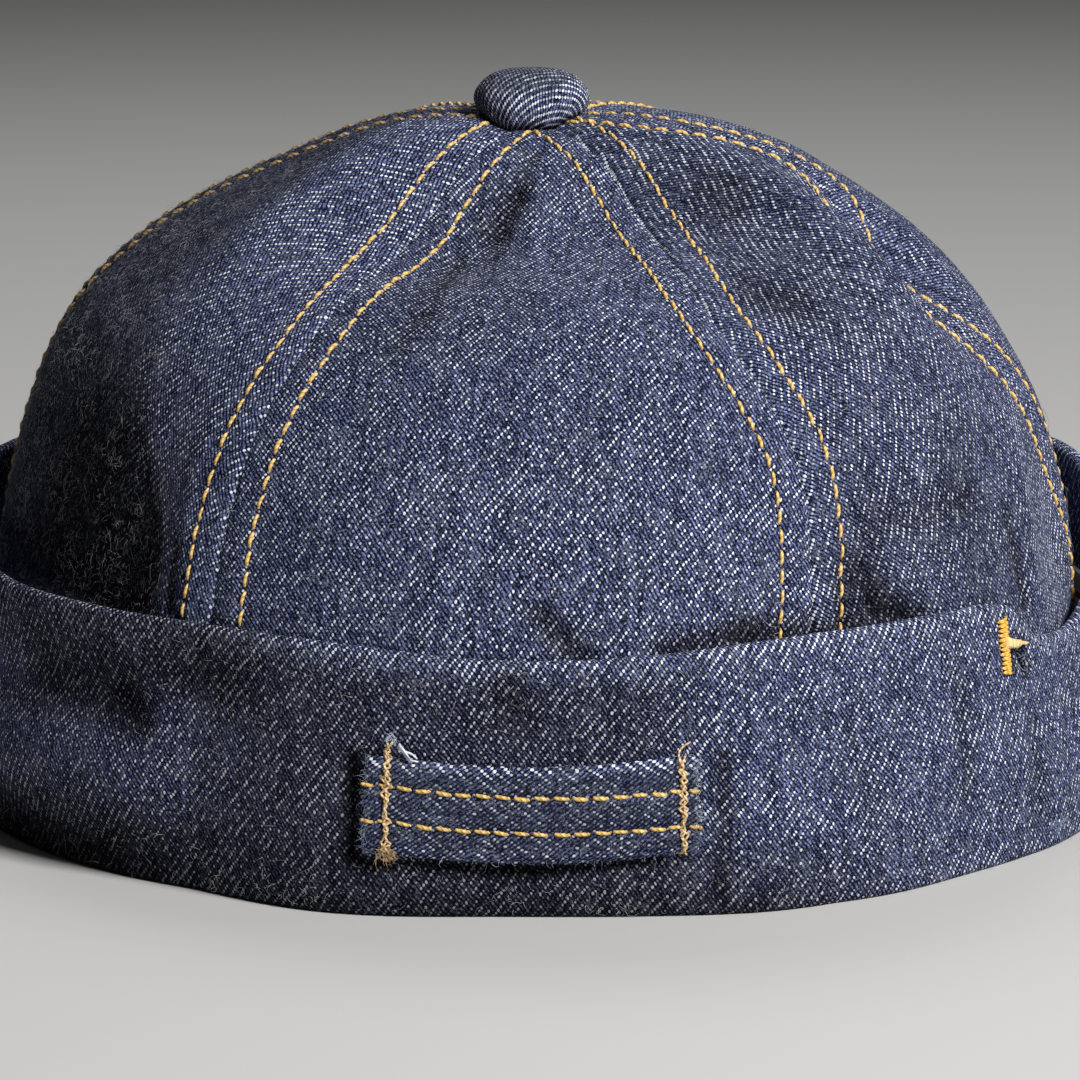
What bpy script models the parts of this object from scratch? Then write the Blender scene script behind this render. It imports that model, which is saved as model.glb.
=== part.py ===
"""Denim fisherman cap: six crown panels, a turned-up cuff, a sewn strip and a covered button.

Metres, +Z up. The cap rests on z = 0 and its front faces -Y. Azimuths are in degrees around
the upright axis, 0 at the front and growing towards +X.
"""
import math

import bpy
import bmesh
from mathutils import Vector

MM = 0.001

# Crown
CROWN_RADIUS = 92.0 * MM
CROWN_HEIGHT = 116.0 * MM
SPRING_HEIGHT = 25.0 * MM      # the crown wall is upright below this level
PANEL_WALL = 1.4 * MM
PANEL_PUFF = 1.2 * MM          # how far a panel swells between its seams
PUFF_POWER = 3                 # a higher power swells flatter, with steeper sides at the seams
PUFF_FULL_AT = 1.0 / 3.0       # station from which the panels swell fully
SEAM_GAP = 0.3 * MM

# Cuff
CUFF_HEIGHT = 40.3 * MM        # at the front
CUFF_WALL = 2.4 * MM           # two layers of denim
CUFF_FLARE = 8.0 * MM          # unit of the stand-off columns below
FOLD_HEIGHT = 3.0 * MM         # thickness of the bottom fold that joins band and cuff
FOLD_CORNER_IN = 0.30          # place of the fold's rounded corner, in shares of half the fold
FOLD_CORNER_UP = 0.45
HEEL_BEVEL = 0.30              # bevel at the band's foot, as a share of half the fold
BAND_HEIGHT = 22.0 * MM
BAND_WALL = 1.4 * MM
LAP_GAP = 0.35 * MM            # between the cuff and the crown that laps into it

# Sewn strip on the cuff
STRIP_LENGTH = 51.0 * MM
STRIP_WIDTH = 15.2 * MM
STRIP_THICKNESS = 1.6 * MM
STRIP_BOW = 0.9 * MM           # the middle stands proud of its sewn ends
STRIP_SAG = 1.0 * MM
STRIP_SEWN_AT = 0.86           # share of the half length where its ends are sewn down
STRIP_EDGE = 0.7               # share of the thickness left along its edges
STRIP_CENTRE_HEIGHT = 17.8 * MM
STRIP_AZIMUTH = 0.0
STRIP_GAP = 0.3 * MM

# Covered button
BUTTON_RADIUS = 9.8 * MM
BUTTON_RISE = 7.9 * MM
POST_RADIUS = 2.0 * MM
POST_GAP = 0.3 * MM
BACK_DISC_RADIUS = 5.5 * MM
BACK_DISC_THICKNESS = 1.2 * MM
BUTTON_GAP = 0.35 * MM

# Selvedge edge on the inner side of the raised back of the cuff
SELVEDGE_WIDTH = 9.0 * MM
SELVEDGE_THICKNESS = 0.8 * MM
SELVEDGE_HEIGHT = 24.0 * MM    # its lower edge
SELVEDGE_GAP = 0.3 * MM
SELVEDGE_START = 88.0
SELVEDGE_END = 272.0

# Mesh steps
PANEL_COLUMNS = 10
PANEL_ROWS = 15
SKIRT_ROWS = 2
CUFF_COLUMNS = 72
STRIP_COLUMNS = 14
STRIP_ROWS = 4
BUTTON_COLUMNS = 24
SELVEDGE_COLUMNS = 30
SELVEDGE_ROWS = 2
SHARP_FROM = 50.0              # degrees between faces from which an edge stays sharp
SLOPE_STEP = 0.01              # stations each way between which a slope is read
HALVINGS = 40                  # rounds of the search for a station

# Crown plan: share of CROWN_RADIUS, and roundness (2 is an ellipse, more is squarer)
CROWN_SECTIONS = [
    # azimuth, radius, roundness
    (-93, 0.989, 2.25),
    (-60, 0.995, 2.05),
    (-33, 1.000, 1.95),
    (0, 1.000, 2.05),
    (28, 0.996, 2.25),
    (60, 0.996, 2.30),
    (88, 1.000, 2.35),
    (148, 1.000, 2.40),
    (208, 1.000, 2.40),
]

# Dents: place as azimuth and station (0 at the button, 1 at the spring), reach each way,
# and depth as a share of CROWN_RADIUS. A negative depth is a swelling.
CROWN_DENTS = [
    # name, azimuth, station, azimuth reach, station reach, depth
    ("button_sink", 0, 0.00, 900, 0.10, 0.020),
    ("front_hollow", -2, 0.30, 48, 0.17, 0.130),
    ("front_crease", -17, 0.27, 9, 0.10, 0.020),
    ("right_hollow", 45, 0.40, 10, 0.09, 0.022),
    ("right_seam_dip", 70, 0.47, 9, 0.11, 0.060),
    ("right_panel_ridge", 57, 0.46, 7, 0.12, -0.018),
    ("right_base_fold", 73, 0.84, 6, 0.10, 0.022),
    ("left_crease", -46, 0.80, 5, 0.13, 0.018),
    ("left_hollow", -61, 0.83, 16, 0.19, 0.052),
    ("left_shoulder_flat", -97, 0.31, 34, 0.12, 0.020),
    ("left_shoulder_swell", -97, 0.60, 34, 0.12, -0.028),
    ("right_shoulder_flat", 98, 0.46, 30, 0.14, 0.014),
]

DENT_FADE = 0.12    # the dents die out over this much of the crown above the spring

# Seams: azimuth at the button, the shoulder, the belly and the hem
SEAMS = [
    # tip, top, shoulder, side, belly, hem
    (-22, -32, -33.5, -31.5, -34, -34),
    (24, 31, 29.5, 25, 30, 29),
    (68, 66, 79, 68, 78, 87),
    (148, 148, 148, 148, 148, 148),
    (208, 208, 208, 208, 208, 208),
    (267, 267, 267, 267, 267, 267),
]
SEAM_STATIONS = (0.0, 0.15, 0.30, 0.50, 0.70, 0.90)

# Cuff: rim height as a share of CUFF_HEIGHT, then how far the cuff stands off the crown at
# its rim, waist, belly and foot, as shares of CUFF_FLARE
CUFF_SECTIONS = [
    # azimuth, height, rim, waist, belly, foot
    (-108, 1.33, 0.85, 0.70, 0.85, 0.50),
    (-85, 1.20, 0.75, 0.55, 0.88, 0.42),
    (-63, 1.09, 0.45, 0.15, 0.60, 0.18),
    (-47, 1.07, 0.15, 0.05, 0.33, 0.04),
    (-33, 1.06, 0.05, 0.05, 0.15, 0.05),
    (-18, 1.04, 0.05, 0.10, 0.30, 0.35),
    (-2, 1.00, 0.02, 0.02, 0.06, 0.04),
    (10, 1.01, 0.04, 0.05, 0.18, 0.22),
    (22, 1.04, 0.05, 0.25, 0.60, 0.66),
    (31, 1.05, 0.10, 0.25, 0.62, 0.68),
    (45, 1.06, 0.12, 0.20, 0.42, 0.42),
    (54, 1.03, 0.10, 0.15, 0.42, 0.42),
    (59, 0.88, 0.08, 0.15, 0.45, 0.48),
    (72, 0.86, 0.10, 0.25, 0.55, 0.58),
    (98, 1.24, 0.70, 0.60, 0.75, 0.70),
    (112, 1.33, 0.85, 0.70, 0.85, 0.75),
    (180, 1.33, 0.80, 0.65, 0.80, 0.75),
]

STAND_OFF_SHARES = (0.08, 0.38, 0.68, 1.00)   # of the wall height, for foot to rim
CUFF_WALL_SHARES = (0.08, 0.22, 0.38, 0.53, 0.68, 0.84)
RIM_TURNS = (0, 45, 90, 135, 180)

# Button profile from its top to its underside
BUTTON_PROFILE = [
    # radius, height
    (0.12, 1.000),
    (0.45, 0.975),
    (0.72, 0.860),
    (0.92, 0.640),
    (1.00, 0.400),
    (0.95, 0.160),
]
BUTTON_SEAT = 0.86             # share of the radius where the underside meets the crown
BUTTON_NECK = 0.50

# Materials: colour, roughness
DENIM = ("denim", (0.055, 0.062, 0.125), 0.92)
DENIM_CUFF = ("denim_cuff", (0.045, 0.050, 0.105), 0.92)
DENIM_STRIP = ("denim_strip", (0.050, 0.054, 0.100), 0.92)
DENIM_BUTTON = ("denim_button", (0.075, 0.088, 0.160), 0.90)
SELVEDGE = ("selvedge", (0.780, 0.740, 0.690), 0.85)


def make_material(spec):
    """Return the named material, made once."""
    name, colour, roughness = spec
    material = bpy.data.materials.get(name)
    if material is None:
        material = bpy.data.materials.new(name)
        material.use_nodes = True
        shader = material.node_tree.nodes["Principled BSDF"]
        shader.inputs["Base Color"].default_value = (*colour, 1.0)
        shader.inputs["Roughness"].default_value = roughness
        shader.inputs["Metallic"].default_value = 0.0
    return material


def curve_value(knots, values, x):
    """Read a smooth curve through the knots at x, held level past both ends."""
    if x <= knots[0]:
        return values[0]
    if x >= knots[-1]:
        return values[-1]
    count = len(knots)
    i = max(k for k in range(count - 1) if knots[k] <= x)
    span = knots[i + 1] - knots[i]
    t = (x - knots[i]) / span

    def slope(k):
        before = max(k - 1, 0)
        after = min(k + 1, count - 1)
        return (values[after] - values[before]) / (knots[after] - knots[before])

    start = (1 + 2 * t) * (1 - t) ** 2 * values[i] + t * (1 - t) ** 2 * span * slope(i)
    end = t * t * (3 - 2 * t) * values[i + 1] - t * t * (1 - t) * span * slope(i + 1)
    return start + end


def ring_value(table, column, azimuth):
    """Read one column of a table whose rows go round the cap."""
    rows = sorted(table)
    rows = [(r[0] - 360, *r[1:]) for r in rows[-2:]] + rows + [(r[0] + 360, *r[1:]) for r in rows[:2]]
    start = rows[2][0]
    angle = start + (azimuth - start) % 360
    return curve_value([r[0] for r in rows], [r[column] for r in rows], angle)


def angle_apart(a, b):
    """Return the smaller angle between two azimuths."""
    return abs((a - b + 180) % 360 - 180)


def seam_azimuth(index, station):
    """Return a seam's azimuth at a station."""
    return curve_value(SEAM_STATIONS, SEAMS[index], station)


def panel_puff(azimuth, station):
    """Return how far a panel swells out at an azimuth: nothing at its seams."""
    share = 0.0
    for index in range(len(SEAMS)):
        start = seam_azimuth(index, station)
        end = seam_azimuth((index + 1) % len(SEAMS), station)
        width = (end - start) % 360
        across = (azimuth - start) % 360 / width
        if across <= 1.0:
            share = 1.0 - abs(2.0 * across - 1.0) ** PUFF_POWER
    return PANEL_PUFF * share * min(1.0, station / PUFF_FULL_AT)


def crown_dent(azimuth, station):
    """Return the depth of all dents together at one place. The band keeps the hem round."""
    depth = 0.0
    for _, at_azimuth, at_station, azimuth_reach, station_reach, share in CROWN_DENTS:
        across = angle_apart(azimuth, at_azimuth) / azimuth_reach
        along = (station - at_station) / station_reach
        depth += share * CROWN_RADIUS * math.exp(-across ** 4 - along ** 2)
    return depth * min(1.0, max(0.0, 1.0 - station) / DENT_FADE)


def crown_profile(azimuth, station, dented=True):
    """Return radius and height of the crown's outer face, with or without its dents.

    Stations 0 to 1 go from the button down to the spring, and 1 to 2 down the upright
    skirt to the floor.
    """
    radius = CROWN_RADIUS * ring_value(CROWN_SECTIONS, 1, azimuth)
    swell = panel_puff(azimuth, station)
    if dented:
        swell -= crown_dent(azimuth, station)
    if station > 1.0:
        return radius + swell, SPRING_HEIGHT * (2.0 - station)
    power = ring_value(CROWN_SECTIONS, 2, azimuth)
    rise = CROWN_HEIGHT - SPRING_HEIGHT
    angle = math.radians(90.0 * (1.0 - station))
    out, up = math.cos(angle), math.sin(angle)
    reach = (out ** power + up ** power) ** (-1.0 / power)
    return (radius * reach + swell) * out, SPRING_HEIGHT + (rise * reach + swell) * up


def station_where(azimuth, column, value, dented=True):
    """Find the station where the crown's radius (0) or height (1) has a value."""
    low, high = 0.0, 2.0
    for _ in range(HALVINGS):
        middle = 0.5 * (low + high)
        found = crown_profile(azimuth, middle, dented)[column]
        past = found > value if column == 0 else found < value
        if past:
            high = middle
        else:
            low = middle
    return 0.5 * (low + high)


def crown_height_at(azimuth, radius):
    """Return the crown's height at a radius near its top."""
    return crown_profile(azimuth, station_where(azimuth, 0, radius))[1]


def crown_radius_at(azimuth, height, dented=True):
    """Return the crown's outer radius at a height."""
    return crown_profile(azimuth, station_where(azimuth, 1, height, dented), dented)[0]


def crown_inner(azimuth, station):
    """Return radius and height of the crown's inner face, square to its profile."""
    r0, z0 = crown_profile(azimuth, max(station - SLOPE_STEP, 0.0))
    r1, z1 = crown_profile(azimuth, min(station + SLOPE_STEP, 2.0))
    length = math.hypot(r1 - r0, z1 - z0)
    radius, height = crown_profile(azimuth, station)
    inward = (z1 - z0) / length
    down = -(r1 - r0) / length
    return radius + PANEL_WALL * inward, height + PANEL_WALL * down


def place(azimuth, radius, height):
    """Turn azimuth, radius and height into a point."""
    angle = math.radians(azimuth)
    return Vector((radius * math.sin(angle), -radius * math.cos(angle), height))


def add_object(name, bm, spec):
    """Turn the bmesh into a named object with faces pointing out."""
    bmesh.ops.recalc_face_normals(bm, faces=bm.faces)
    bmesh.ops.triangulate(bm, faces=[f for f in bm.faces if len(f.verts) > 3])
    mesh = bpy.data.meshes.new(name)
    bm.to_mesh(mesh)
    bm.free()
    mesh.shade_smooth()
    mesh.set_sharp_from_angle(angle=math.radians(SHARP_FROM))
    mesh.materials.append(make_material(spec))
    obj = bpy.data.objects.new(name, mesh)
    bpy.context.scene.collection.objects.link(obj)
    return obj


def slab(name, outer, inner, spec):
    """Join an outer and an inner grid of points into one closed wall."""
    bm = bmesh.new()
    front = [[bm.verts.new(point) for point in row] for row in outer]
    back = [[bm.verts.new(point) for point in row] for row in inner]
    rows, columns = len(front), len(front[0])
    for grid in (front, back):
        for i in range(rows - 1):
            for k in range(columns - 1):
                bm.faces.new((grid[i][k], grid[i][k + 1], grid[i + 1][k + 1], grid[i + 1][k]))
    border = [(0, k) for k in range(columns)]
    border += [(i, columns - 1) for i in range(1, rows)]
    border += [(rows - 1, k) for k in range(columns - 2, -1, -1)]
    border += [(i, 0) for i in range(rows - 2, 0, -1)]
    for n, (i, k) in enumerate(border):
        j, m = border[(n + 1) % len(border)]
        bm.faces.new((front[i][k], front[j][m], back[j][m], back[i][k]))
    return add_object(name, bm, spec)


def make_panel(index):
    """One crown panel between two seams, from the button's post to the hem in the cuff."""
    hem = 2.0 - (FOLD_HEIGHT + LAP_GAP) / SPRING_HEIGHT
    tip_radius = POST_RADIUS + POST_GAP
    outer, inner = [], []
    for row in range(PANEL_ROWS + SKIRT_ROWS + 1):
        outer_row, inner_row = [], []
        for column in range(PANEL_COLUMNS + 1):
            across = column / PANEL_COLUMNS
            rough = min(row / PANEL_ROWS, 1.0)
            start = seam_azimuth(index, rough)
            end = start + (seam_azimuth((index + 1) % len(SEAMS), rough) - start) % 360
            azimuth = start + (end - start) * across
            tip = station_where(azimuth, 0, tip_radius)
            if row <= PANEL_ROWS:
                station = tip + (1.0 - tip) * row / PANEL_ROWS
            else:
                station = 1.0 + (hem - 1.0) * (row - PANEL_ROWS) / SKIRT_ROWS
            radius, height = crown_profile(azimuth, station)
            inner_radius, inner_height = crown_inner(azimuth, station)
            side = 1.0 - 2.0 * across
            trim = side * math.degrees(0.5 * SEAM_GAP / radius)
            inner_trim = side * math.degrees(0.5 * SEAM_GAP / inner_radius)
            outer_row.append(place(azimuth + trim, radius, height))
            inner_row.append(place(azimuth + inner_trim, inner_radius, inner_height))
        outer.append(outer_row)
        inner.append(inner_row)
    return slab(f"crown_panel_{index + 1}", outer, inner, DENIM)


def wall_height(azimuth):
    """Return the height of the upturned wall up to where its rim turns over."""
    return CUFF_HEIGHT * ring_value(CUFF_SECTIONS, 1, azimuth) - 0.5 * CUFF_WALL


def cuff_inner_radius(azimuth, share):
    """Return the radius of the upturned wall's inner face at a share of its height."""
    stand_off = [ring_value(CUFF_SECTIONS, column, azimuth) for column in (5, 4, 3, 2)]
    flare = CUFF_FLARE * curve_value(STAND_OFF_SHARES, stand_off, share)
    return crown_radius_at(azimuth, wall_height(azimuth) * share, False) + LAP_GAP + flare


def cuff_outer_radius(azimuth, share):
    """Return the radius of the upturned wall's outer face at a share of its height."""
    return cuff_inner_radius(azimuth, share) + CUFF_WALL


def band_radius(azimuth, height):
    """Return the radius of the band's outer face, just inside the crown's hem."""
    return crown_radius_at(azimuth, height) - PANEL_WALL - LAP_GAP


def cuff_section(azimuth):
    """Return the cuff's section at an azimuth: fold, upturned wall, rim, channel and band."""
    wall = wall_height(azimuth)
    foot_share = CUFF_WALL_SHARES[0]
    foot = cuff_outer_radius(azimuth, foot_share)
    bend = 0.5 * FOLD_HEIGHT
    band_low = band_radius(azimuth, FOLD_HEIGHT)
    band_top = band_radius(azimuth, BAND_HEIGHT)
    heel = band_low - BAND_WALL
    points = [(heel + HEEL_BEVEL * bend, 0.0), (foot - bend, 0.0)]
    points.append((foot - FOLD_CORNER_IN * bend, FOLD_CORNER_UP * bend))
    points += [(cuff_outer_radius(azimuth, share), wall * share) for share in CUFF_WALL_SHARES]
    half = 0.5 * CUFF_WALL
    rim = cuff_inner_radius(azimuth, 1.0) + half
    for turn in RIM_TURNS:
        angle = math.radians(turn)
        points.append((rim + half * math.cos(angle), wall + half * math.sin(angle)))
    for share in reversed(CUFF_WALL_SHARES[1:]):
        points.append((cuff_inner_radius(azimuth, share), wall * share))
    points += [(cuff_inner_radius(azimuth, foot_share), FOLD_HEIGHT), (band_low, FOLD_HEIGHT)]
    points += [(band_top, BAND_HEIGHT), (band_top - BAND_WALL, BAND_HEIGHT)]
    points.append((heel, HEEL_BEVEL * bend))
    return points


def make_cuff():
    """The band inside the crown's hem, the bottom fold and the upturned cuff, in one piece."""
    bm = bmesh.new()
    rows = []
    for column in range(CUFF_COLUMNS):
        azimuth = 360.0 * column / CUFF_COLUMNS
        rows.append([bm.verts.new(place(azimuth, r, z)) for r, z in cuff_section(azimuth)])
    count = len(rows[0])
    for column in range(CUFF_COLUMNS):
        here, there = rows[column], rows[(column + 1) % CUFF_COLUMNS]
        for k in range(count):
            after = (k + 1) % count
            bm.faces.new((here[k], here[after], there[after], there[k]))
    return add_object("cuff", bm, DENIM_CUFF)


def make_strip():
    """The folded strip sewn to the front of the cuff, bowed out between its two ends."""
    wall = wall_height(STRIP_AZIMUTH)
    face = cuff_outer_radius(STRIP_AZIMUTH, STRIP_CENTRE_HEIGHT / wall)
    turn = math.degrees(STRIP_LENGTH / face)
    outer, inner = [], []
    for row in range(STRIP_ROWS + 1):
        outer_row, inner_row = [], []
        for column in range(STRIP_COLUMNS + 1):
            across = 2.0 * column / STRIP_COLUMNS - 1.0
            azimuth = STRIP_AZIMUTH + 0.5 * turn * across
            arch = max(0.0, 1.0 - (across / STRIP_SEWN_AT) ** 2)
            height = STRIP_CENTRE_HEIGHT + STRIP_WIDTH * (0.5 - row / STRIP_ROWS) - STRIP_SAG * arch
            radius = cuff_outer_radius(azimuth, height / wall_height(azimuth))
            radius += STRIP_GAP + STRIP_BOW * arch
            on_edge = row in (0, STRIP_ROWS) or column in (0, STRIP_COLUMNS)
            thickness = STRIP_THICKNESS * (STRIP_EDGE if on_edge else 1.0)
            outer_row.append(place(azimuth, radius + thickness, height))
            inner_row.append(place(azimuth, radius, height))
        outer.append(outer_row)
        inner.append(inner_row)
    return slab("cuff_strip", outer, inner, DENIM_STRIP)


def make_selvedge():
    """The woven white edge with its red line, on the inner side of the raised cuff."""
    outer, inner = [], []
    for row in range(SELVEDGE_ROWS + 1):
        height = SELVEDGE_HEIGHT + SELVEDGE_WIDTH * row / SELVEDGE_ROWS
        outer_row, inner_row = [], []
        for column in range(SELVEDGE_COLUMNS + 1):
            azimuth = SELVEDGE_START + (SELVEDGE_END - SELVEDGE_START) * column / SELVEDGE_COLUMNS
            radius = cuff_inner_radius(azimuth, height / wall_height(azimuth)) - SELVEDGE_GAP
            outer_row.append(place(azimuth, radius, height))
            inner_row.append(place(azimuth, radius - SELVEDGE_THICKNESS, height))
        outer.append(outer_row)
        inner.append(inner_row)
    return slab("selvedge_edge", outer, inner, SELVEDGE)


def make_button():
    """The covered button: a low dome seated on the crown, its post and the disc behind it."""
    turns = [360.0 * column / BUTTON_COLUMNS for column in range(BUTTON_COLUMNS)]
    dome_top = max(crown_height_at(a, BUTTON_RADIUS) for a in turns) + BUTTON_RISE
    under = [crown_inner(a, station_where(a, 0, BACK_DISC_RADIUS))[1] for a in turns]
    disc_top = min(under) - BUTTON_GAP
    disc_low = disc_top - BACK_DISC_THICKNESS
    centre = BUTTON_PROFILE[0][0]
    bm = bmesh.new()
    rows = []
    for azimuth in turns:
        seat = crown_height_at(azimuth, BUTTON_SEAT * BUTTON_RADIUS) + BUTTON_GAP
        neck = crown_height_at(azimuth, BUTTON_NECK * BUTTON_RADIUS) + BUTTON_GAP
        root = crown_height_at(azimuth, POST_RADIUS + POST_GAP) + BUTTON_GAP
        section = [(BUTTON_RADIUS * r, seat + (dome_top - seat) * z) for r, z in BUTTON_PROFILE]
        section += [(BUTTON_SEAT * BUTTON_RADIUS, seat), (BUTTON_NECK * BUTTON_RADIUS, neck)]
        section += [(POST_RADIUS, root), (POST_RADIUS, disc_top), (BACK_DISC_RADIUS, disc_top)]
        section += [(BACK_DISC_RADIUS, disc_low), (centre * BACK_DISC_RADIUS, disc_low)]
        rows.append([bm.verts.new(place(azimuth, r, z)) for r, z in section])
    for i in range(BUTTON_COLUMNS):
        here, there = rows[i], rows[(i + 1) % BUTTON_COLUMNS]
        for k in range(len(here) - 1):
            bm.faces.new((here[k], here[k + 1], there[k + 1], there[k]))
    bm.faces.new([row[0] for row in rows])
    bm.faces.new([row[-1] for row in reversed(rows)])
    return add_object("top_button", bm, DENIM_BUTTON)


def centre_on_origin(pieces):
    """Move all pieces together until the middle of their box stands over the origin."""
    points = [v.co for piece in pieces for v in piece.data.vertices]
    shift = Vector((0.0, 0.0, 0.0))
    for axis in (0, 1):
        values = [point[axis] for point in points]
        shift[axis] = -0.5 * (min(values) + max(values))
    for point in points:
        point += shift


def build():
    """Clear the scene and make every piece."""
    for obj in list(bpy.data.objects):
        bpy.data.objects.remove(obj, do_unlink=True)
    pieces = [make_panel(index) for index in range(len(SEAMS))]
    pieces += [make_cuff(), make_strip(), make_selvedge(), make_button()]
    centre_on_origin(pieces)


build()
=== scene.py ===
"""Denim fisherman cap, dressed: woven panels, cuff, strip, button, topstitching and fibres.

Metres, +Z up. The cap rests on z = 0 and its front faces -Y. Azimuths are in degrees around
the upright axis through the button, 0 at the front and growing towards +X.
"""

import math

import bpy
import numpy as np
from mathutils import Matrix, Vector


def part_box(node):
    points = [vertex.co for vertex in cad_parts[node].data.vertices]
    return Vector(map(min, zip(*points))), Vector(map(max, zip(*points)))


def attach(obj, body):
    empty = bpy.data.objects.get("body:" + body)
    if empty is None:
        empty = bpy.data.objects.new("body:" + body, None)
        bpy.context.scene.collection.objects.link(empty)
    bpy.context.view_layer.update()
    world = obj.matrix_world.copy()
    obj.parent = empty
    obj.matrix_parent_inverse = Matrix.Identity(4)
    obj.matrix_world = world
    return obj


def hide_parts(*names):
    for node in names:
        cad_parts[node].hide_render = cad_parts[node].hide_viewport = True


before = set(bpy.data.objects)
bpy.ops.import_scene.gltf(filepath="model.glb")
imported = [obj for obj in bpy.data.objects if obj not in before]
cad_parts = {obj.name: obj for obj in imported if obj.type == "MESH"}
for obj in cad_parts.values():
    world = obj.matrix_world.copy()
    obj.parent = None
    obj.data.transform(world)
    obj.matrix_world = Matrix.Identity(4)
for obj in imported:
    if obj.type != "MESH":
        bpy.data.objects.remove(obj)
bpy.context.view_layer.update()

MM = 0.001

# Sizes of the solids, repeated from their source
CROWN_RADIUS = 92.0 * MM
CROWN_HEIGHT = 116.0 * MM
SPRING_HEIGHT = 25.0 * MM
PANEL_WALL = 1.4 * MM
PANEL_PUFF = 1.2 * MM
PUFF_POWER = 3
PUFF_FULL_AT = 1.0 / 3.0
CUFF_HEIGHT = 40.3 * MM
CUFF_WALL = 2.4 * MM
CUFF_FLARE = 8.0 * MM
FOLD_HEIGHT = 3.0 * MM
FOLD_CORNER_IN = 0.30
FOLD_CORNER_UP = 0.45
HEEL_BEVEL = 0.30
BAND_HEIGHT = 22.0 * MM
BAND_WALL = 1.4 * MM
LAP_GAP = 0.35 * MM
STRIP_LENGTH = 51.0 * MM
STRIP_WIDTH = 15.2 * MM
STRIP_THICKNESS = 1.6 * MM
STRIP_BOW = 0.9 * MM
STRIP_SAG = 1.0 * MM
STRIP_SEWN_AT = 0.86
STRIP_CENTRE_HEIGHT = 17.8 * MM
STRIP_GAP = 0.3 * MM
BUTTON_RADIUS = 9.8 * MM
BUTTON_RISE = 7.9 * MM
POST_RADIUS = 2.0 * MM
POST_GAP = 0.3 * MM
BACK_DISC_RADIUS = 5.5 * MM
BACK_DISC_THICKNESS = 1.2 * MM
BUTTON_GAP = 0.35 * MM
SELVEDGE_WIDTH = 9.0 * MM
SELVEDGE_THICKNESS = 0.8 * MM
SELVEDGE_HEIGHT = 24.0 * MM
SELVEDGE_GAP = 0.3 * MM
SELVEDGE_START = 88.0
SELVEDGE_END = 272.0

CROWN_SECTIONS = [
    # azimuth, radius, roundness
    (-93, 0.989, 2.25),
    (-60, 0.995, 2.05),
    (-33, 1.000, 1.95),
    (0, 1.000, 2.05),
    (28, 0.996, 2.25),
    (60, 0.996, 2.30),
    (88, 1.000, 2.35),
    (148, 1.000, 2.40),
    (208, 1.000, 2.40),
]

CROWN_DENTS = [
    # name, azimuth, station, azimuth reach, station reach, depth
    ("button_sink", 0, 0.00, 900, 0.10, 0.020),
    ("front_hollow", -2, 0.30, 48, 0.17, 0.130),
    ("front_crease", -17, 0.27, 9, 0.10, 0.020),
    ("right_hollow", 45, 0.40, 10, 0.09, 0.022),
    ("right_seam_dip", 70, 0.47, 9, 0.11, 0.060),
    ("right_panel_ridge", 57, 0.46, 7, 0.12, -0.018),
    ("right_base_fold", 73, 0.84, 6, 0.10, 0.022),
    ("left_crease", -46, 0.80, 5, 0.13, 0.018),
    ("left_hollow", -61, 0.83, 16, 0.19, 0.052),
    ("left_shoulder_flat", -97, 0.31, 34, 0.12, 0.020),
    ("left_shoulder_swell", -97, 0.60, 34, 0.12, -0.028),
    ("right_shoulder_flat", 98, 0.46, 30, 0.14, 0.014),
]
DENT_FADE = 0.12

SEAMS = [
    # tip, top, shoulder, side, belly, hem
    (-22, -32, -33.5, -31.5, -34, -34),
    (24, 31, 29.5, 25, 30, 29),
    (68, 66, 79, 68, 78, 87),
    (148, 148, 148, 148, 148, 148),
    (208, 208, 208, 208, 208, 208),
    (267, 267, 267, 267, 267, 267),
]
PANEL_TIP = 0.022              # station where the panels end, under the button
SEAM_STATIONS = (0.0, 0.15, 0.30, 0.50, 0.70, 0.90)
LEFT_SEAM = 5                  # its stitches get a darker thread for painted shade, and nap has grown over them

CUFF_SECTIONS = [
    # azimuth, height, rim, waist, belly, foot
    (-108, 1.33, 0.85, 0.70, 0.85, 0.50),
    (-85, 1.20, 0.75, 0.55, 0.88, 0.42),
    (-63, 1.09, 0.45, 0.15, 0.60, 0.18),
    (-47, 1.07, 0.15, 0.05, 0.33, 0.04),
    (-33, 1.06, 0.05, 0.05, 0.15, 0.05),
    (-18, 1.04, 0.05, 0.10, 0.30, 0.35),
    (-2, 1.00, 0.02, 0.02, 0.06, 0.04),
    (10, 1.01, 0.04, 0.05, 0.18, 0.22),
    (22, 1.04, 0.05, 0.25, 0.60, 0.66),
    (31, 1.05, 0.10, 0.25, 0.62, 0.68),
    (45, 1.06, 0.12, 0.20, 0.42, 0.42),
    (54, 1.03, 0.10, 0.15, 0.42, 0.42),
    (59, 0.88, 0.08, 0.15, 0.45, 0.48),
    (72, 0.86, 0.10, 0.25, 0.55, 0.58),
    (98, 1.24, 0.70, 0.60, 0.75, 0.70),
    (112, 1.33, 0.85, 0.70, 0.85, 0.75),
    (180, 1.33, 0.80, 0.65, 0.80, 0.75),
]
STAND_OFF_SHARES = (0.08, 0.38, 0.68, 1.00)
CUFF_FOOT_SHARE = 0.08

BUTTON_PROFILE = [
    # radius, height
    (0.12, 1.000),
    (0.45, 0.975),
    (0.72, 0.860),
    (0.92, 0.640),
    (1.00, 0.400),
    (0.95, 0.160),
]
BUTTON_SEAT = 0.86
BUTTON_NECK = 0.50

# Camera and light
CAMERA_ELEVATION = 10.5
CAMERA_LENS = 178.0
CAMERA_PLACE = Vector((0.00156, -0.90205, 0.20877))
FLOOR_RADIUS = 6.0
FLOOR_SIDES = 72

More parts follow.
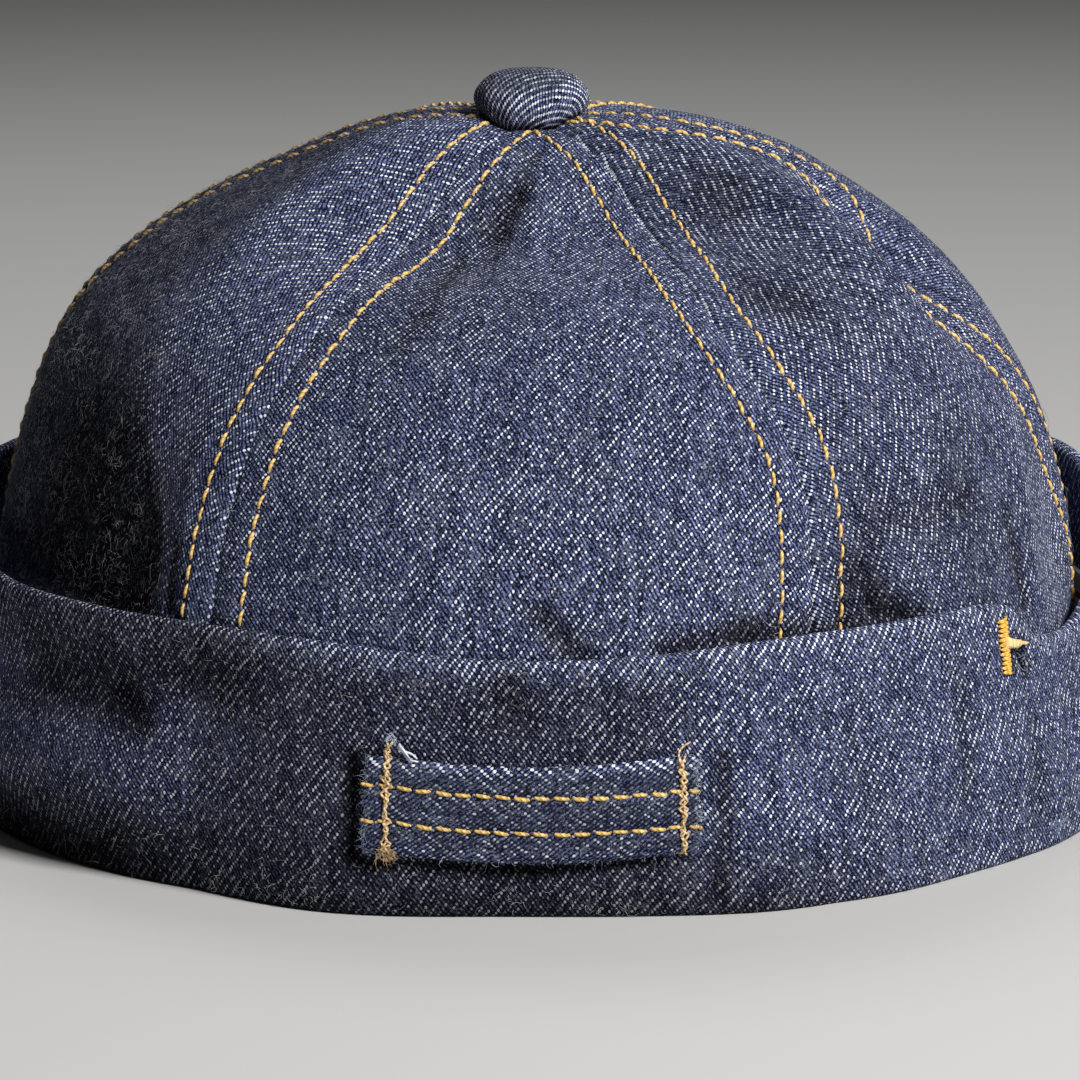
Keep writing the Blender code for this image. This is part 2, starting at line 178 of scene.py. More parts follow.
FLOOR_COLOUR = (0.62, 0.61, 0.59, 1.0)
LIGHT_AIM = Vector((0.0, 0.0, 0.05))
LIGHTS = [
    # name, place, width, height, watts, colour
    ("key", (0.70, -0.76, 0.90), 0.40, 0.40, 21.0, (1.0, 1.0, 1.0)),
    ("back", (-0.10, 0.80, 1.20), 0.8, 0.5, 5.0, (0.96, 0.98, 1.0)),
]
SKY_COLOUR = (0.86, 0.89, 0.95, 1.0)
SKY_STRENGTH = 0.03

# Denim
END_PITCH = 0.377 * MM         # from one warp yarn to the next
PICK_PITCH = 0.515 * MM        # from one weft yarn to the next
SHAFTS = 4.0                   # a weft yarn shows once in so many warp yarns
YARN_WANDER = 1.5              # how far the yarns stray, in yarns
DOT_WIDTH, DOT_HEIGHT = 0.62, 0.55
DOT_RIM, DOT_CORE = 0.72, 0.24
DOT_GROWTH = -0.35             # of the rim, for a bright dot and for a place of wear and painted highlight
DOT_POWER, DOT_RANGE, DOT_LEAST = 1.8, 1.40, 0.12
# how wear and painted highlight, nap, and painted shade change how much the pale dots show; below, how painted
# shade dulls the warp and hides the hairs
WEAR_AND_HIGHLIGHT_ADDS, NAP_HIDES, SHADE_KEEPS = 0.45, -0.85, 0.70
WARP_POWER = 1.45
SHADE_DULLS, SHADE_HIDES = -0.45, -0.80
HAIR_WIDTH = 0.022
HAIR_PLACES = (0.45, 0.70, 0.0, 0.50)
WARP_DARK = (0.0018, 0.0028, 0.0140)
WARP_LIGHT = (0.240, 0.285, 0.560)
# the warp's colour in painted shade, greyer than in light
WARP_SHADED = (0.270, 0.260, 0.340)
WEFT_COLOUR = (0.88, 0.92, 1.00)
FUZZ_COLOUR = (0.40, 0.43, 0.52)
# the nap zones darken towards this: painted shade
NAP_SHADE_COLOUR = (0.0110, 0.0120, 0.0180)
# the near black that painted shade mixes in
SHADE_COLOUR = (0.0015, 0.0014, 0.0022)
RED_LINE_EDGE = (0.75 * MM, 0.55 * MM)
PANEL_GRAIN = [(0.0, 0.10), (11.0, 0.05)] + 4 * [(0.0, 0.05)]    # turn in degrees, skew

# Pale and dark colours of the threads and fibres
THREAD_COLOURS = {
    "golden_thread": ((1.00, 0.74, 0.27), (0.60, 0.27, 0.04)),
    # a darker copy of golden_thread: painted shade on the left seam's stitches
    "shaded_thread": ((0.50, 0.33, 0.13), (0.12, 0.07, 0.03)),
    "yellow_thread": ((1.00, 0.65, 0.12), (0.66, 0.28, 0.03)),
    "yellow_straw_thread": ((1.00, 0.80, 0.40), (0.80, 0.52, 0.20)),
    "straw_thread": ((1.00, 0.78, 0.46), (0.46, 0.22, 0.06)),
}
FIBRE_COLOURS = {
    "white_weft": ((0.95, 0.96, 1.00), (0.45, 0.52, 0.66)),
    "cotton_fluff": ((0.62, 0.60, 0.60), (0.16, 0.17, 0.22)),
    # a darker copy of cotton_fluff: painted shade on the fibres of the crown's shaded left side
    "shaded_nap_fluff": ((0.46, 0.45, 0.46), (0.10, 0.105, 0.13)),
    "pale_fray": ((0.60, 0.66, 0.78), (0.22, 0.28, 0.42)),
}

# Topstitching
STITCH_PITCH = 3.1 * MM
STITCH_SHARE = 0.83            # of the pitch that shows; the rest dips into the cloth
THREAD_RADIUS = 0.32 * MM
STITCH_SLANT = 0.13 * MM       # sideways, from a stitch's start to its end
STITCH_JITTER = 0.09 * MM
TWIST_PITCH = 0.95 * MM        # of the plies round a thread
PLY_TWISTS = 1.3               # of the ridges round one stitch
ROW_AT_TIP = 3.9 * MM          # from the seam to its row of stitches
ROW_AT_HEM = 6.0 * MM

# Strip stitching and tacks
STRIP_ROW_LEVEL = 2.8 * MM     # of the rows above and below the strip's centre line
STRIP_ROW_SLANT = 0.5 * MM
STRIP_ROW_DIMPLE = 0.35 * MM
STRIP_STITCH_PITCH = 3.05 * MM
STRIP_BUMPS = [(7, 51, 0.22, 1.0), (3, 53, 0.10, 1.0)]
TACK_DIMPLE = 0.35 * MM
TACK_DIMPLE_WIDTH = 1.3 * MM
STRIP_TACK_LEFT = -22.1 * MM
STRIP_TACK_RIGHT = 23.0 * MM
STRIP_TACKS = [
    # name, place along the strip, top, foot
    ("strip_tack_left", STRIP_TACK_LEFT, 9.8 * MM, -7.6 * MM),
    ("strip_tack_right", STRIP_TACK_RIGHT, 7.4 * MM, -7.7 * MM),
]
STRIP_TACK_RADIUS = 0.19 * MM
STRIP_GRAIN = 90.0             # degrees that the strip's grain is turned
BUTTON_GRAIN = -28.0
BUTTON_WEAR = 0.95

# Tack at the right of the cuff
TACK_AZIMUTH = 52.2
TACK_TOP = 39.9 * MM
TACK_LOW = 30.7 * MM
TACK_LEAN = 1.0 * MM
TACK_HALF_WIDTH = 1.40 * MM
TACK_STEP = 0.38 * MM
TACK_RADIUS = 0.25 * MM
TAIL_STRANDS = 9
TAIL_RADIUS = 0.30 * MM
TACK_TAIL_LEVEL = 36.0 * MM
TACK_TAIL_LENGTH = 7.4 * MM

# Relief of the seams
SEAM_GROOVE = 0.42 * MM
SEAM_GROOVE_WIDTH = 0.55 * MM
ALLOWANCE_RISE = 0.50 * MM     # the pressed-open edges lift the cloth beside a seam
ALLOWANCE_WIDTH = 7.0 * MM
ROW_DIMPLE = 0.30 * MM
ROW_DIMPLE_WIDTH = 0.75 * MM
ROPING = 0.20 * MM             # slanted ripples between the two rows
ROPING_PITCH = 6.3 * MM

# Creases of the crown, each a dent with painted shade along it
CREASES = [
    # name, from azimuth, station, to azimuth, station, half width, depth, painted shade
    ("front_crease_top", 0.5, 0.125, -7, 0.190, 1.8, 0.9, 0.35),
    ("front_crease_foot", -7, 0.190, -11, 0.245, 3.0, 1.2, 0.55),
    ("front_left_fold", -20.5, 0.310, -17, 0.470, 2.6, 0.6, 0.30),
    ("front_left_fold_foot", -17, 0.470, -19, 0.560, 2.2, 0.6, 0.30),
    ("base_pucker", 1, 0.850, 5, 0.905, 2.4, 1.0, 0.55),
    ("base_shadow", 13, 0.893, 22, 0.876, 2.4, 0.9, 0.60),
    ("base_shadow_right", 22, 0.882, 38, 0.897, 3.0, 0.6, 0.66),
    ("pocket_left", 33.5, 0.825, 33, 0.885, 2.6, 0.6, 0.50),
    ("right_top_hollow", 48.5, 0.295, 47, 0.320, 5.0, 0.7, 0.40),
    ("right_hollow", 34, 0.490, 37, 0.510, 5.0, 0.7, 0.40),
    ("right_swell_foot", 37, 0.778, 52, 0.765, 4.0, 0.7, 0.32),
    ("right_pocket", 36, 0.825, 37, 0.845, 3.0, 1.0, 0.60),
    ("right_pocket_foot", 37, 0.860, 42, 0.885, 2.2, 1.4, 0.85),
    ("right_stripe", 60, 0.800, 61.5, 0.900, 2.0, 0.8, 0.45),
    ("left_fold_foot", -41, 0.800, -40, 0.870, 1.6, 0.9, 0.60),
]
LEFT_SHADOW_EDGE = [(0.60, -55.0), (0.72, -47.5), (0.80, -42.5), (0.92, -41.0)]    # station, azimuth
CROWN_SHADES = [
    # patches of painted shade: name, amount, azimuths and stations where it starts, is full, is still full and
    # ends
    ("right_side", 0.11, (28.0, 36.0, 46.0, 60.0), (-2.0, -1.0, 3.0, 4.0)),
    ("right_top", 0.13, (29.0, 37.0, 64.0, 78.0), (0.14, 0.24, 0.50, 0.60)),
    ("front_top", 0.12, (-34.0, -26.0, -4.0, 4.0), (0.14, 0.24, 0.50, 0.60)),
]
RIGHT_WEAR = (0.3, (64.0, 70.0, 78.0, 82.0), (0.72, 0.80, 3.0, 4.0))
NAP_EDGE = [(0.08, -84.0), (0.26, -66.0), (0.34, -61.0), (0.52, -57.0), (0.64, -53.0), (0.80, -44.0),
            (0.92, -42.0)]    # station, azimuth
RIGHT_NAP = (56.0, 0.78, 8.0, 0.14, 0.42)    # azimuth, station, azimuth reach, station reach, amount
CROWN_BUMPS = [
    # bump size in mm, seed, height in mm, share of the upright
    (26, 3, 0.50, 1.0),
    (11, 5, 0.22, 1.0),
    (4.5, 8, 0.07, 0.5),
]
CUFF_BUMPS = [(17, 21, 0.55, 0.55), (7.5, 23, 0.20, 0.55), (3.2, 29, 0.05, 1.0)]
LEFT_TURNS = (-128.0, -96.0)    # azimuths over which the cuff's low shade fades out at the left
# Creases of the cuff, each a dent with painted shade along it, and painted shadows beside the strip and the
# tack
CUFF_CREASES = [
    # name, from azimuth, share of the height, to azimuth, share, half width, depth, painted shade
    ("left_dip", -56, 0.74, -43, 0.69, 4.8, 1.1, 0.66),
    ("left_dip_end", -43, 0.72, -41, 0.64, 3.6, 0.7, 0.55),
    ("left_dip_right", -38, 0.86, -31, 0.80, 5.0, 0.6, 0.40),
    ("centre_dip", -2.5, 0.94, -1.5, 0.82, 3.2, 0.5, 0.45),
    ("strip_shadow_right", 17.8, 0.62, 17.4, 0.10, 1.6, 0.4, 0.55),
    ("strip_shadow_left", -16.6, 0.61, -16.5, 0.24, 1.45, 0.4, 1.00),
    ("strip_shadow_low_left", -15.6, 0.215, 0, 0.195, 0.95, 0.4, 0.98),
    ("strip_shadow_low_right", 0, 0.198, 12.0, 0.220, 0.60, 0.3, 0.85),
    ("tack_slit", 55.3, 0.88, 56.9, 0.83, 1.15, 0.9, 1.00),
    ("tack_shadow", 53.8, 0.90, 54.2, 0.76, 0.7, 0.2, 0.80),
    ("right_dip", 45, 0.80, 45, 0.35, 2.6, 0.4, 0.22),
    ("right_dip_far", 57, 0.60, 56, 0.20, 2.6, 0.4, 0.22),
    ("right_dip_near", 31, 0.70, 33, 0.30, 2.6, 0.3, 0.18),
]

CUFF_WEAVE_RADIUS = 1.03 * CROWN_RADIUS
RIM_WEAR_AND_HIGHLIGHT_REACH = 1.6 * MM
FOLD_WEAR_REACH = 2.0 * MM

TUFTS = [
    # name, azimuth, share of the height, azimuth reach, reach in mm, number of fibres, length in mm
    ("strip_corner", -12.6, 0.715, 0.4, 0.4, 26, 0.9),
    ("strip_right_corner", 15.2, 0.60, 0.6, 0.6, 30, 0.9),
    ("notch_rim", 60.5, 1.00, 3.2, 0.7, 40, 1.1),
    ("slit_edge", 56.6, 0.86, 0.9, 1.6, 22, 1.2),
    ("low_right", 60.0, 0.11, 1.2, 0.9, 60, 1.2),
]

# Mesh steps
FRONT_PANELS = (0, 1, 5)
FRONT_COLUMNS, FRONT_ROWS = 165, 240
BACK_COLUMNS, BACK_ROWS = 99, 150
INNER_STEP = 3                 # the inner faces have a vertex for every third outer one
CUFF_COLUMNS = 660
CUFF_ROWS = 52
STRIP_COLUMNS, STRIP_ROWS = 180, 54
SELVEDGE_COLUMNS, SELVEDGE_ROWS = 180, 24
BUTTON_COLUMNS, BUTTON_ROWS = 96, 40
THREAD_SIDES = 7
THREAD_RINGS = 9
CROWN_FIBRES = 3400
NAP_FIBRES = 11500
CUFF_FIBRES = 4200
FIBRE_RINGS = 4
NAP_RINGS = 3
FRAY_FIBRES = 380
KNOT_FIBRES = 190

# Fibres: length, radius, how far they stand up, curl
CROWN_FIBRE = (1.5 * MM, 0.028 * MM, 0.22, 1.7)
NAP_FIBRE = (0.95 * MM, 0.026 * MM, 0.25, 0.7)
CUFF_FIBRE = (1.5 * MM, 0.028 * MM, 0.25, 1.7)
FRAY_FIBRE = (1.0 * MM, 0.034 * MM, 0.30, 1.5)
KNOT_FIBRE = (0.85 * MM, 0.055 * MM, 0.35, 1.3)
TUFT_FIBRE = (0.045 * MM, 0.30, 1.5)

# The button stands on the axis of the crown, which the solids moved off the origin
button_low, button_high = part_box("top_button")
AXIS = np.array([0.5 * (button_low[0] + button_high[0]), 0.5 * (button_low[1] + button_high[1]), 0.0])

draw = np.random.default_rng(7)


def curve_values(knots, values, x):
    """Read a smooth curve through the knots at each x, held level past both ends."""
    knots, values, x = (np.asarray(a, float) for a in (knots, values, x))
    last = len(knots) - 1
    before = np.maximum(np.arange(last + 1) - 1, 0)
    after = np.minimum(np.arange(last + 1) + 1, last)
    slopes = (values[after] - values[before]) / (knots[after] - knots[before])
    i = np.clip(np.searchsorted(knots, x, side="right") - 1, 0, last - 1)
    span = knots[i + 1] - knots[i]
    t = np.clip((x - knots[i]) / span, 0.0, 1.0)
    start = (1 + 2 * t) * (1 - t) ** 2 * values[i] + t * (1 - t) ** 2 * span * slopes[i]
    end = t * t * (3 - 2 * t) * values[i + 1] - t * t * (1 - t) * span * slopes[i + 1]
    return start + end


def ring_values(table, column, azimuth):
    """Read one column of a table whose rows go round the cap."""
    rows = sorted(table)
    rows = [(r[0] - 360, *r[1:]) for r in rows[-2:]] + rows + [(r[0] + 360, *r[1:]) for r in rows[:2]]
    start = rows[2][0]
    angle = start + (np.asarray(azimuth, float) - start) % 360
    return curve_values([r[0] for r in rows], [r[column] for r in rows], angle)


def smooth_step(low, high, x):
    """Rise smoothly from 0 at low to 1 at high."""
    t = np.clip((x - low) / (high - low), 0.0, 1.0)
    return t * t * (3.0 - 2.0 * t)


def hill(x, start, full_from, full_to, end):
    """Rise smoothly from 0 to 1 and fall back to 0."""
    return smooth_step(start, full_from, x) * smooth_step(end, full_to, x)


def signed(azimuth):
    """Return azimuths between -180 and 180."""
    return (azimuth + 180.0) % 360.0 - 180.0


def darker(shade, *more):
    """Lay more shades over one: each takes its share of the light that is left."""
    light = 1.0 - shade
    for share in more:
        light = light * (1.0 - share)
    return 1.0 - light


def run_lengths(points):
    """Return the length of a run of points up to each of them."""
    steps = np.linalg.norm(np.diff(points, axis=0), axis=1)
    return np.concatenate([[0.0], np.cumsum(steps)])


def coarse(grid):
    """Return the places of an outer face that its inner face has too."""
    return grid[::INNER_STEP, ::INNER_STEP]


def turned_weave(across, along, degrees, skew=0.0):
    """Return places in flat cloth whose grain is turned and skewed."""
    angle = math.radians(degrees)
    end = across * math.cos(angle) + along * math.sin(angle)
    pick = along * math.cos(angle) - across * math.sin(angle)
    return np.stack([end - skew * pick, pick, 0.0 * pick], axis=-1)


def lattice_value(i, j, k, seed):
    """Return a fixed random number from -1 to 1 for each lattice point."""
    mixed = (i * 374761393 + j * 668265263 + k * 2147483647 + seed * 1274126177) & 0xFFFFFFFF
    mixed = ((mixed ^ (mixed >> 13)) * 1274126177) & 0xFFFFFFFF
    mixed = mixed ^ (mixed >> 16)
    return (mixed & 0xFFFF) / 32767.5 - 1.0


def soft_noise(points, size, seed):
    """Smooth noise from -1 to 1 whose bumps are about as wide as size."""
    scaled = np.asarray(points, float) / size
    cell = np.floor(scaled).astype(np.int64)
    t = scaled - cell
    t = t * t * (3.0 - 2.0 * t)
    total = 0.0
    for dx in (0, 1):
        for dy in (0, 1):
            for dz in (0, 1):
                corner = cell + np.array([dx, dy, dz])
                weight = np.abs(1 - dx - t[..., 0]) * np.abs(1 - dy - t[..., 1]) * np.abs(1 - dz - t[..., 2])
                total = total + weight * lattice_value(corner[..., 0], corner[..., 1], corner[..., 2], seed)
    return total


def place(azimuth, radius, height):
    """Turn azimuths, radii and heights into points."""
    angle = np.radians(azimuth)
    return np.stack([radius * np.sin(angle), -radius * np.cos(angle), height + 0.0 * angle], axis=-1)


def unit(vectors):
    """Scale vectors to a length of one."""
    return vectors / np.linalg.norm(vectors, axis=-1, keepdims=True)


def seam_azimuth(index, station):
    """Return a seam's azimuth at each station."""
    return curve_values(SEAM_STATIONS, SEAMS[index % len(SEAMS)], station)


def panel_puff(azimuth, station):
    """Return how far a panel swells out at each place: nothing at its seams."""
    share = np.zeros(np.broadcast(azimuth, station).shape)
    for index in range(len(SEAMS)):
        start = seam_azimuth(index, station)
        width = (seam_azimuth(index + 1, station) - start) % 360
        across = (azimuth - start) % 360 / width
        share = np.where(across <= 1.0, 1.0 - np.abs(2.0 * across - 1.0) ** PUFF_POWER, share)
    return PANEL_PUFF * share * np.minimum(1.0, station / PUFF_FULL_AT)


def crown_dent(azimuth, station):
    """Return the depth of all dents together at each place."""
    depth = 0.0
    for _, at_azimuth, at_station, azimuth_reach, station_reach, share in CROWN_DENTS:
        across = np.abs(signed(azimuth - at_azimuth)) / azimuth_reach
        along = (station - at_station) / station_reach
        depth = depth + share * CROWN_RADIUS * np.exp(-across ** 4 - along ** 2)
    return depth * np.clip((1.0 - station) / DENT_FADE, 0.0, 1.0)


def crown_profile(azimuth, station, dented=True, puffed=True):
    """Return radius and height of the crown's outer face. Stations run from 0 at the button
    over 1 at the spring of the dome to 2 on the floor."""
    azimuth, station = np.broadcast_arrays(np.asarray(azimuth, float), np.asarray(station, float))
    radius = CROWN_RADIUS * ring_values(CROWN_SECTIONS, 1, azimuth)
    swell = panel_puff(azimuth, station) if puffed else np.zeros(azimuth.shape)
    if dented:
        swell = swell - crown_dent(azimuth, station)
    power = ring_values(CROWN_SECTIONS, 2, azimuth)
    angle = np.radians(90.0 * (1.0 - np.minimum(station, 1.0)))
    out, up = np.cos(angle), np.maximum(np.sin(angle), 0.0)
    reach = (out ** power + up ** power) ** (-1.0 / power)
    dome_height = SPRING_HEIGHT + ((CROWN_HEIGHT - SPRING_HEIGHT) * reach + swell) * up
    skirt = station > 1.0
    return (
        np.where(skirt, radius + swell, (radius * reach + swell) * out),
        np.where(skirt, SPRING_HEIGHT * (2.0 - station), dome_height),
    )


def station_where(azimuth, column, value, dented=True):
    """Find the station where the crown's radius (0) or height (1) has a value."""
    azimuth, value = np.broadcast_arrays(np.asarray(azimuth, float), np.asarray(value, float))
    low, high = np.zeros(azimuth.shape), np.full(azimuth.shape, 2.0)
    for _ in range(26):
        middle = 0.5 * (low + high)
        found = crown_profile(azimuth, middle, dented)[column]
        past = found > value if column == 0 else found < value
        high = np.where(past, middle, high)
        low = np.where(past, low, middle)
    return 0.5 * (low + high)


def crown_point(azimuth, station, **options):
    """Return points of the crown's outer face."""
    return place(azimuth, *crown_profile(azimuth, station, **options))


def crown_normal(azimuth, station):
    """Return the crown's outward directions, smooth across the seams."""
    step_azimuth, step_station = 0.4, 0.004
    low = np.maximum(station - step_station, 0.01)
    ahead = crown_point(azimuth + step_azimuth, station, puffed=False)
    behind = crown_point(azimuth - step_azimuth, station, puffed=False)
    down = crown_point(azimuth, low + 2 * step_station, puffed=False) - crown_point(azimuth, low, puffed=False)
    return unit(np.cross(down, ahead - behind))


def seam_lengths(index):
    """Return a fine run of stations down a seam and the length of the seam up to each."""
    stations = np.linspace(0.02, 1.4, 700)
    return stations, run_lengths(crown_point(seam_azimuth(index, stations), stations))


def seam_lean(index, station):
    """Return the share of a level step beside a seam that is square to it."""
    step = 0.01
    above = crown_point(seam_azimuth(index, station - step), station - step)
    below = crown_point(seam_azimuth(index, station + step), station + step)
    side = place(seam_azimuth(index, station) + 90.0, 1.0, 0.0)
    run = unit(below - above)
    return np.sqrt(np.clip(1.0 - (run * side).sum(-1) ** 2, 0.05, 1.0))


def row_offset(station):
    """Return the distance between a seam and its rows of stitches."""
    return ROW_AT_TIP + (ROW_AT_HEM - ROW_AT_TIP) * np.clip(station, 0.0, 1.0)


SEAM_RUNS = [seam_lengths(index) for index in range(len(SEAMS))]


def crease_share(points, start, end, half_width):
    """Return 1 along the straight line between two points, falling to 0 beside it."""
    run = end - start
    share = np.clip(((points - start) @ run) / (run @ run), 0.0, 1.0)
    away = np.linalg.norm(points - (start + share[..., None] * run), axis=-1)
    return np.exp(-(away / half_width) ** 2)


def creases_of(table, points, find):
    """Return the depth of all creases in a table at each point, and the painted shade along them."""
    depth, shade = 0.0, 0.0
    for _, azimuth_0, level_0, azimuth_1, level_1, half_width, deep, dark in table:
        share = crease_share(points, find(azimuth_0, level_0), find(azimuth_1, level_1), half_width * MM)
        depth = depth + deep * MM * share
        shade = darker(shade, dark * share)
    return depth, shade


def bumps_of(table, points):
    """Return the height of a cloth's soft bumps at each point."""
    height = 0.0
    for size, seed, rise, upright in table:
        height = height + soft_noise(points * np.array([1.0, 1.0, upright]), size * MM, seed) * rise * MM
    return height


def seam_relief(index, azimuth, station, radius):
    """Return the height of the cloth beside one seam, and how worn it is there."""
    apart = signed(azimuth - seam_azimuth(index, station))
    away = np.radians(apart) * radius * seam_lean(index, station)
    along = np.interp(station, *SEAM_RUNS[index])
    offset = row_offset(station)
    distance = np.abs(away)
    rise = ALLOWANCE_RISE * smooth_step(ALLOWANCE_WIDTH, 0.8 * offset, distance)
    groove = SEAM_GROOVE * np.exp(-(distance / SEAM_GROOVE_WIDTH) ** 2)
    holes = 0.65 - 0.35 * np.cos(2 * math.pi * (along / STITCH_PITCH - 0.5 * STITCH_SHARE))
    dimple = ROW_DIMPLE * holes * np.exp(-((distance - offset) / ROW_DIMPLE_WIDTH) ** 2)
    ripple = np.sin(2 * math.pi * (along + 0.8 * away) / ROPING_PITCH + 1.7 * np.sin(along / (9 * MM)))
    rope = ROPING * ripple * smooth_step(offset, 0.35 * offset, distance)
    wear = 0.9 * np.exp(-(distance / (0.55 * MM)) ** 2)
    return rise - groove - dimple + rope, wear


def crown_relief(azimuth, station):
    """Return the height of the crown's cloth above its smooth form, its wear and its painted shade."""
    azimuth, station = np.broadcast_arrays(np.asarray(azimuth, float), np.asarray(station, float))
    radius, _ = crown_profile(azimuth, station)
    relief, wear = 0.0, 0.0
    for index in range(len(SEAMS)):
        rise, rub = seam_relief(index, azimuth, station, radius)
        relief = relief + rise
        wear = wear + rub
    points = crown_point(azimuth, station, dented=False, puffed=False)
    bumps = bumps_of(CROWN_BUMPS, points) * smooth_step(0.03, 0.15, station)
    depth, shade = creases_of(CREASES, crown_point(azimuth, station), crown_point)
    turn = signed(azimuth)
    # painted shade on the lower left side, which faces away from the key light; less of it just above the cuff
    # at the far left
    edge = np.interp(station, *zip(*LEFT_SHADOW_EDGE))
    side = smooth_step(edge + 0.6, edge - 2.2, turn) * smooth_step(-84.0, -64.0, turn)
    side = side * (1.0 - 0.70 * smooth_step(0.83, 0.91, station) * smooth_step(-50.0, -60.0, turn))
    shade = darker(shade, 0.86 * side * smooth_step(0.56, 0.72, station))
    # broad patches of painted shade
    for _, amount, turns, stations in CROWN_SHADES:
        shade = darker(shade, amount * hill(turn, *turns) * hill(station, *stations))
    amount, turns, stations = RIGHT_WEAR
    wear = wear + amount * hill(turn, *turns) * hill(station, *stations)
    return relief * smooth_step(0.02, 0.10, station) + bumps - depth, wear, shade


def crown_nap(azimuth, station):
    """Return how far a soft nap hides the weave of the crown and darkens it with painted shade."""
    turn = signed(azimuth)
    patches = soft_noise(place(azimuth, CROWN_RADIUS, 90 * MM * station), 8 * MM, 97)
    edge = np.interp(station, *zip(*NAP_EDGE)) + 3.0 * patches
    left = 0.95 * smooth_step(edge + 5.0, edge - 8.0, turn) * smooth_step(-130.0, -100.0, turn)
    at_azimuth, at_station, azimuth_reach, station_reach, amount = RIGHT_NAP
    across, along = (turn - at_azimuth) / azimuth_reach, (station - at_station) / station_reach
    return np.maximum(left, amount * np.exp(-across ** 4 - along ** 4))


def crown_surface(azimuth, station):
    """Return the dressed crown's points, outward directions, wear and painted shade."""
    relief, wear, shade = crown_relief(azimuth, station)
    normal = crown_normal(azimuth, station)
    return crown_point(azimuth, station) + normal * relief[..., None], normal, wear, shade


def wall_height(azimuth):
    """Return the height of the upturned wall up to where its rim turns over."""
    return CUFF_HEIGHT * ring_values(CUFF_SECTIONS, 1, azimuth) - 0.5 * CUFF_WALL


def cuff_inner_radius(azimuth, share):
    """Return the radius of the upturned wall's inner face at a share of its height."""
    azimuth, share = np.broadcast_arrays(np.asarray(azimuth, float), np.asarray(share, float))
    columns = np.stack([ring_values(CUFF_SECTIONS, c, azimuth) for c in (5, 4, 3, 2)], axis=-1)
    blend = np.stack([curve_values(STAND_OFF_SHARES, row, share) for row in np.eye(4)], axis=-1)
    height = wall_height(azimuth) * share
    station = station_where(azimuth, 1, height, False)
    radius = crown_profile(azimuth, station, False)[0]
    return radius + LAP_GAP + CUFF_FLARE * (columns * blend).sum(-1)


def cuff_outer_radius(azimuth, share):
    """Return the radius of the upturned wall's outer face at a share of its height."""
    return cuff_inner_radius(azimuth, share) + CUFF_WALL


def band_radius(azimuth, height):
    """Return the radius of the band's outer face, just inside the crown's hem."""
    station = station_where(azimuth, 1, height)
    return crown_profile(azimuth, station)[0] - PANEL_WALL - LAP_GAP


# Materials

class Value:
    """A value in a material's node tree that can be reckoned with like a number."""

    def __init__(self, tree, socket):
        self.tree = tree
        self.socket = socket

    def maths(self, operation, *others):
        """Add a maths node that takes this value and the others, and return its result."""
        node = self.tree.nodes.new("ShaderNodeMath")
        node.operation = operation
        for socket, value in zip(node.inputs, (self, *others)):
            feed(socket, value)
        return Value(self.tree, node.outputs[0])

    def scaled(self, factor, added=0.0):
        """Return the value times a factor, plus something."""
        return self.maths("MULTIPLY_ADD", factor, added)

    def __add__(self, other):
        return self.maths("ADD", other)

    def __sub__(self, other):
        return self.maths("SUBTRACT", other)

    def __mul__(self, other):
        return self.maths("MULTIPLY", other)

    def __truediv__(self, other):
        return self.maths("DIVIDE", other)

    def __pow__(self, other):
        return self.maths("POWER", other)


def new_material(name, roughness, specular=0.1):
    """Return a new material, its node tree and its shader."""
    material = bpy.data.materials.new(name)
    material.use_nodes = True
    tree = material.node_tree
    shader = tree.nodes["Principled BSDF"]
    shader.inputs["Roughness"].default_value = roughness
    shader.inputs["Specular IOR Level"].default_value = specular
    return material, tree, shader


def feed(socket, value):
    """Link a socket to a value, or set it to a number or a colour."""
    if isinstance(value, Value):
        value.tree.links.new(value.socket, socket)
    else:
        socket.default_value = value


def node_of(tree, kind, output, **values):
    """Add a node, feed its named sockets and return one of its results."""
    node = tree.nodes.new(kind)
    for name, value in values.items():
        feed(node.inputs[name.replace("_", " ")], value)
    return Value(tree, node.outputs[output])


def ramp_value(value, low, high, to_low=0.0, to_high=1.0):
    """Map a value smoothly from one range to another, held at both ends."""
    result = node_of(value.tree, "ShaderNodeMapRange", "Result", Value=value, From_Min=low, From_Max=high,
                     To_Min=to_low, To_Max=to_high)
    result.socket.node.interpolation_type = "SMOOTHSTEP"
    return result


def vector_of(x, y):
    """Join two values into a vector."""
    return node_of(x.tree, "ShaderNodeCombineXYZ", "Vector", X=x, Y=y)


def noise_of(vector, scale, detail=2.0, roughness=0.5):
    """Return the value of a noise texture, about 0.5 on average."""
    return node_of(vector.tree, "ShaderNodeTexNoise", "Fac", Vector=vector, Scale=scale, Detail=detail,
                   Roughness=roughness)


def mix_colours(share, first, second):
    """Mix two colours by a share."""
    node = share.tree.nodes.new("ShaderNodeMix")
    node.data_type = "RGBA"
    feed(node.inputs["Factor"], share)
    for number, colour in ((6, first), (7, second)):
        feed(node.inputs[number], colour if isinstance(colour, Value) else (*colour, 1.0))
    return Value(share.tree, node.outputs[2])


def attribute_of(tree, name, output="Fac"):
    """Read a named value of the mesh."""
    value = node_of(tree, "ShaderNodeAttribute", output)
    value.socket.node.attribute_name = name
    return value


def position_of(tree):
    """Return the place in the object's own space."""
    return node_of(tree, "ShaderNodeTexCoord", "Object")


def weave_of(tree):
    """Return the two weave coordinates of the mesh, in metres."""
    first = node_of(tree, "ShaderNodeSeparateXYZ", "X", Vector=attribute_of(tree, "weave", "Vector"))
    return first, Value(tree, first.socket.node.outputs["Y"])


def arch_of(value):
    """Return one arch of a sine over each whole step of a value."""
    return (value.maths("FRACT") * math.pi).maths("SINE")


def ribs_of(value):
    """Return a row of arches with one to each half turn of the value."""
    return value.maths("SINE").maths("ABSOLUTE")


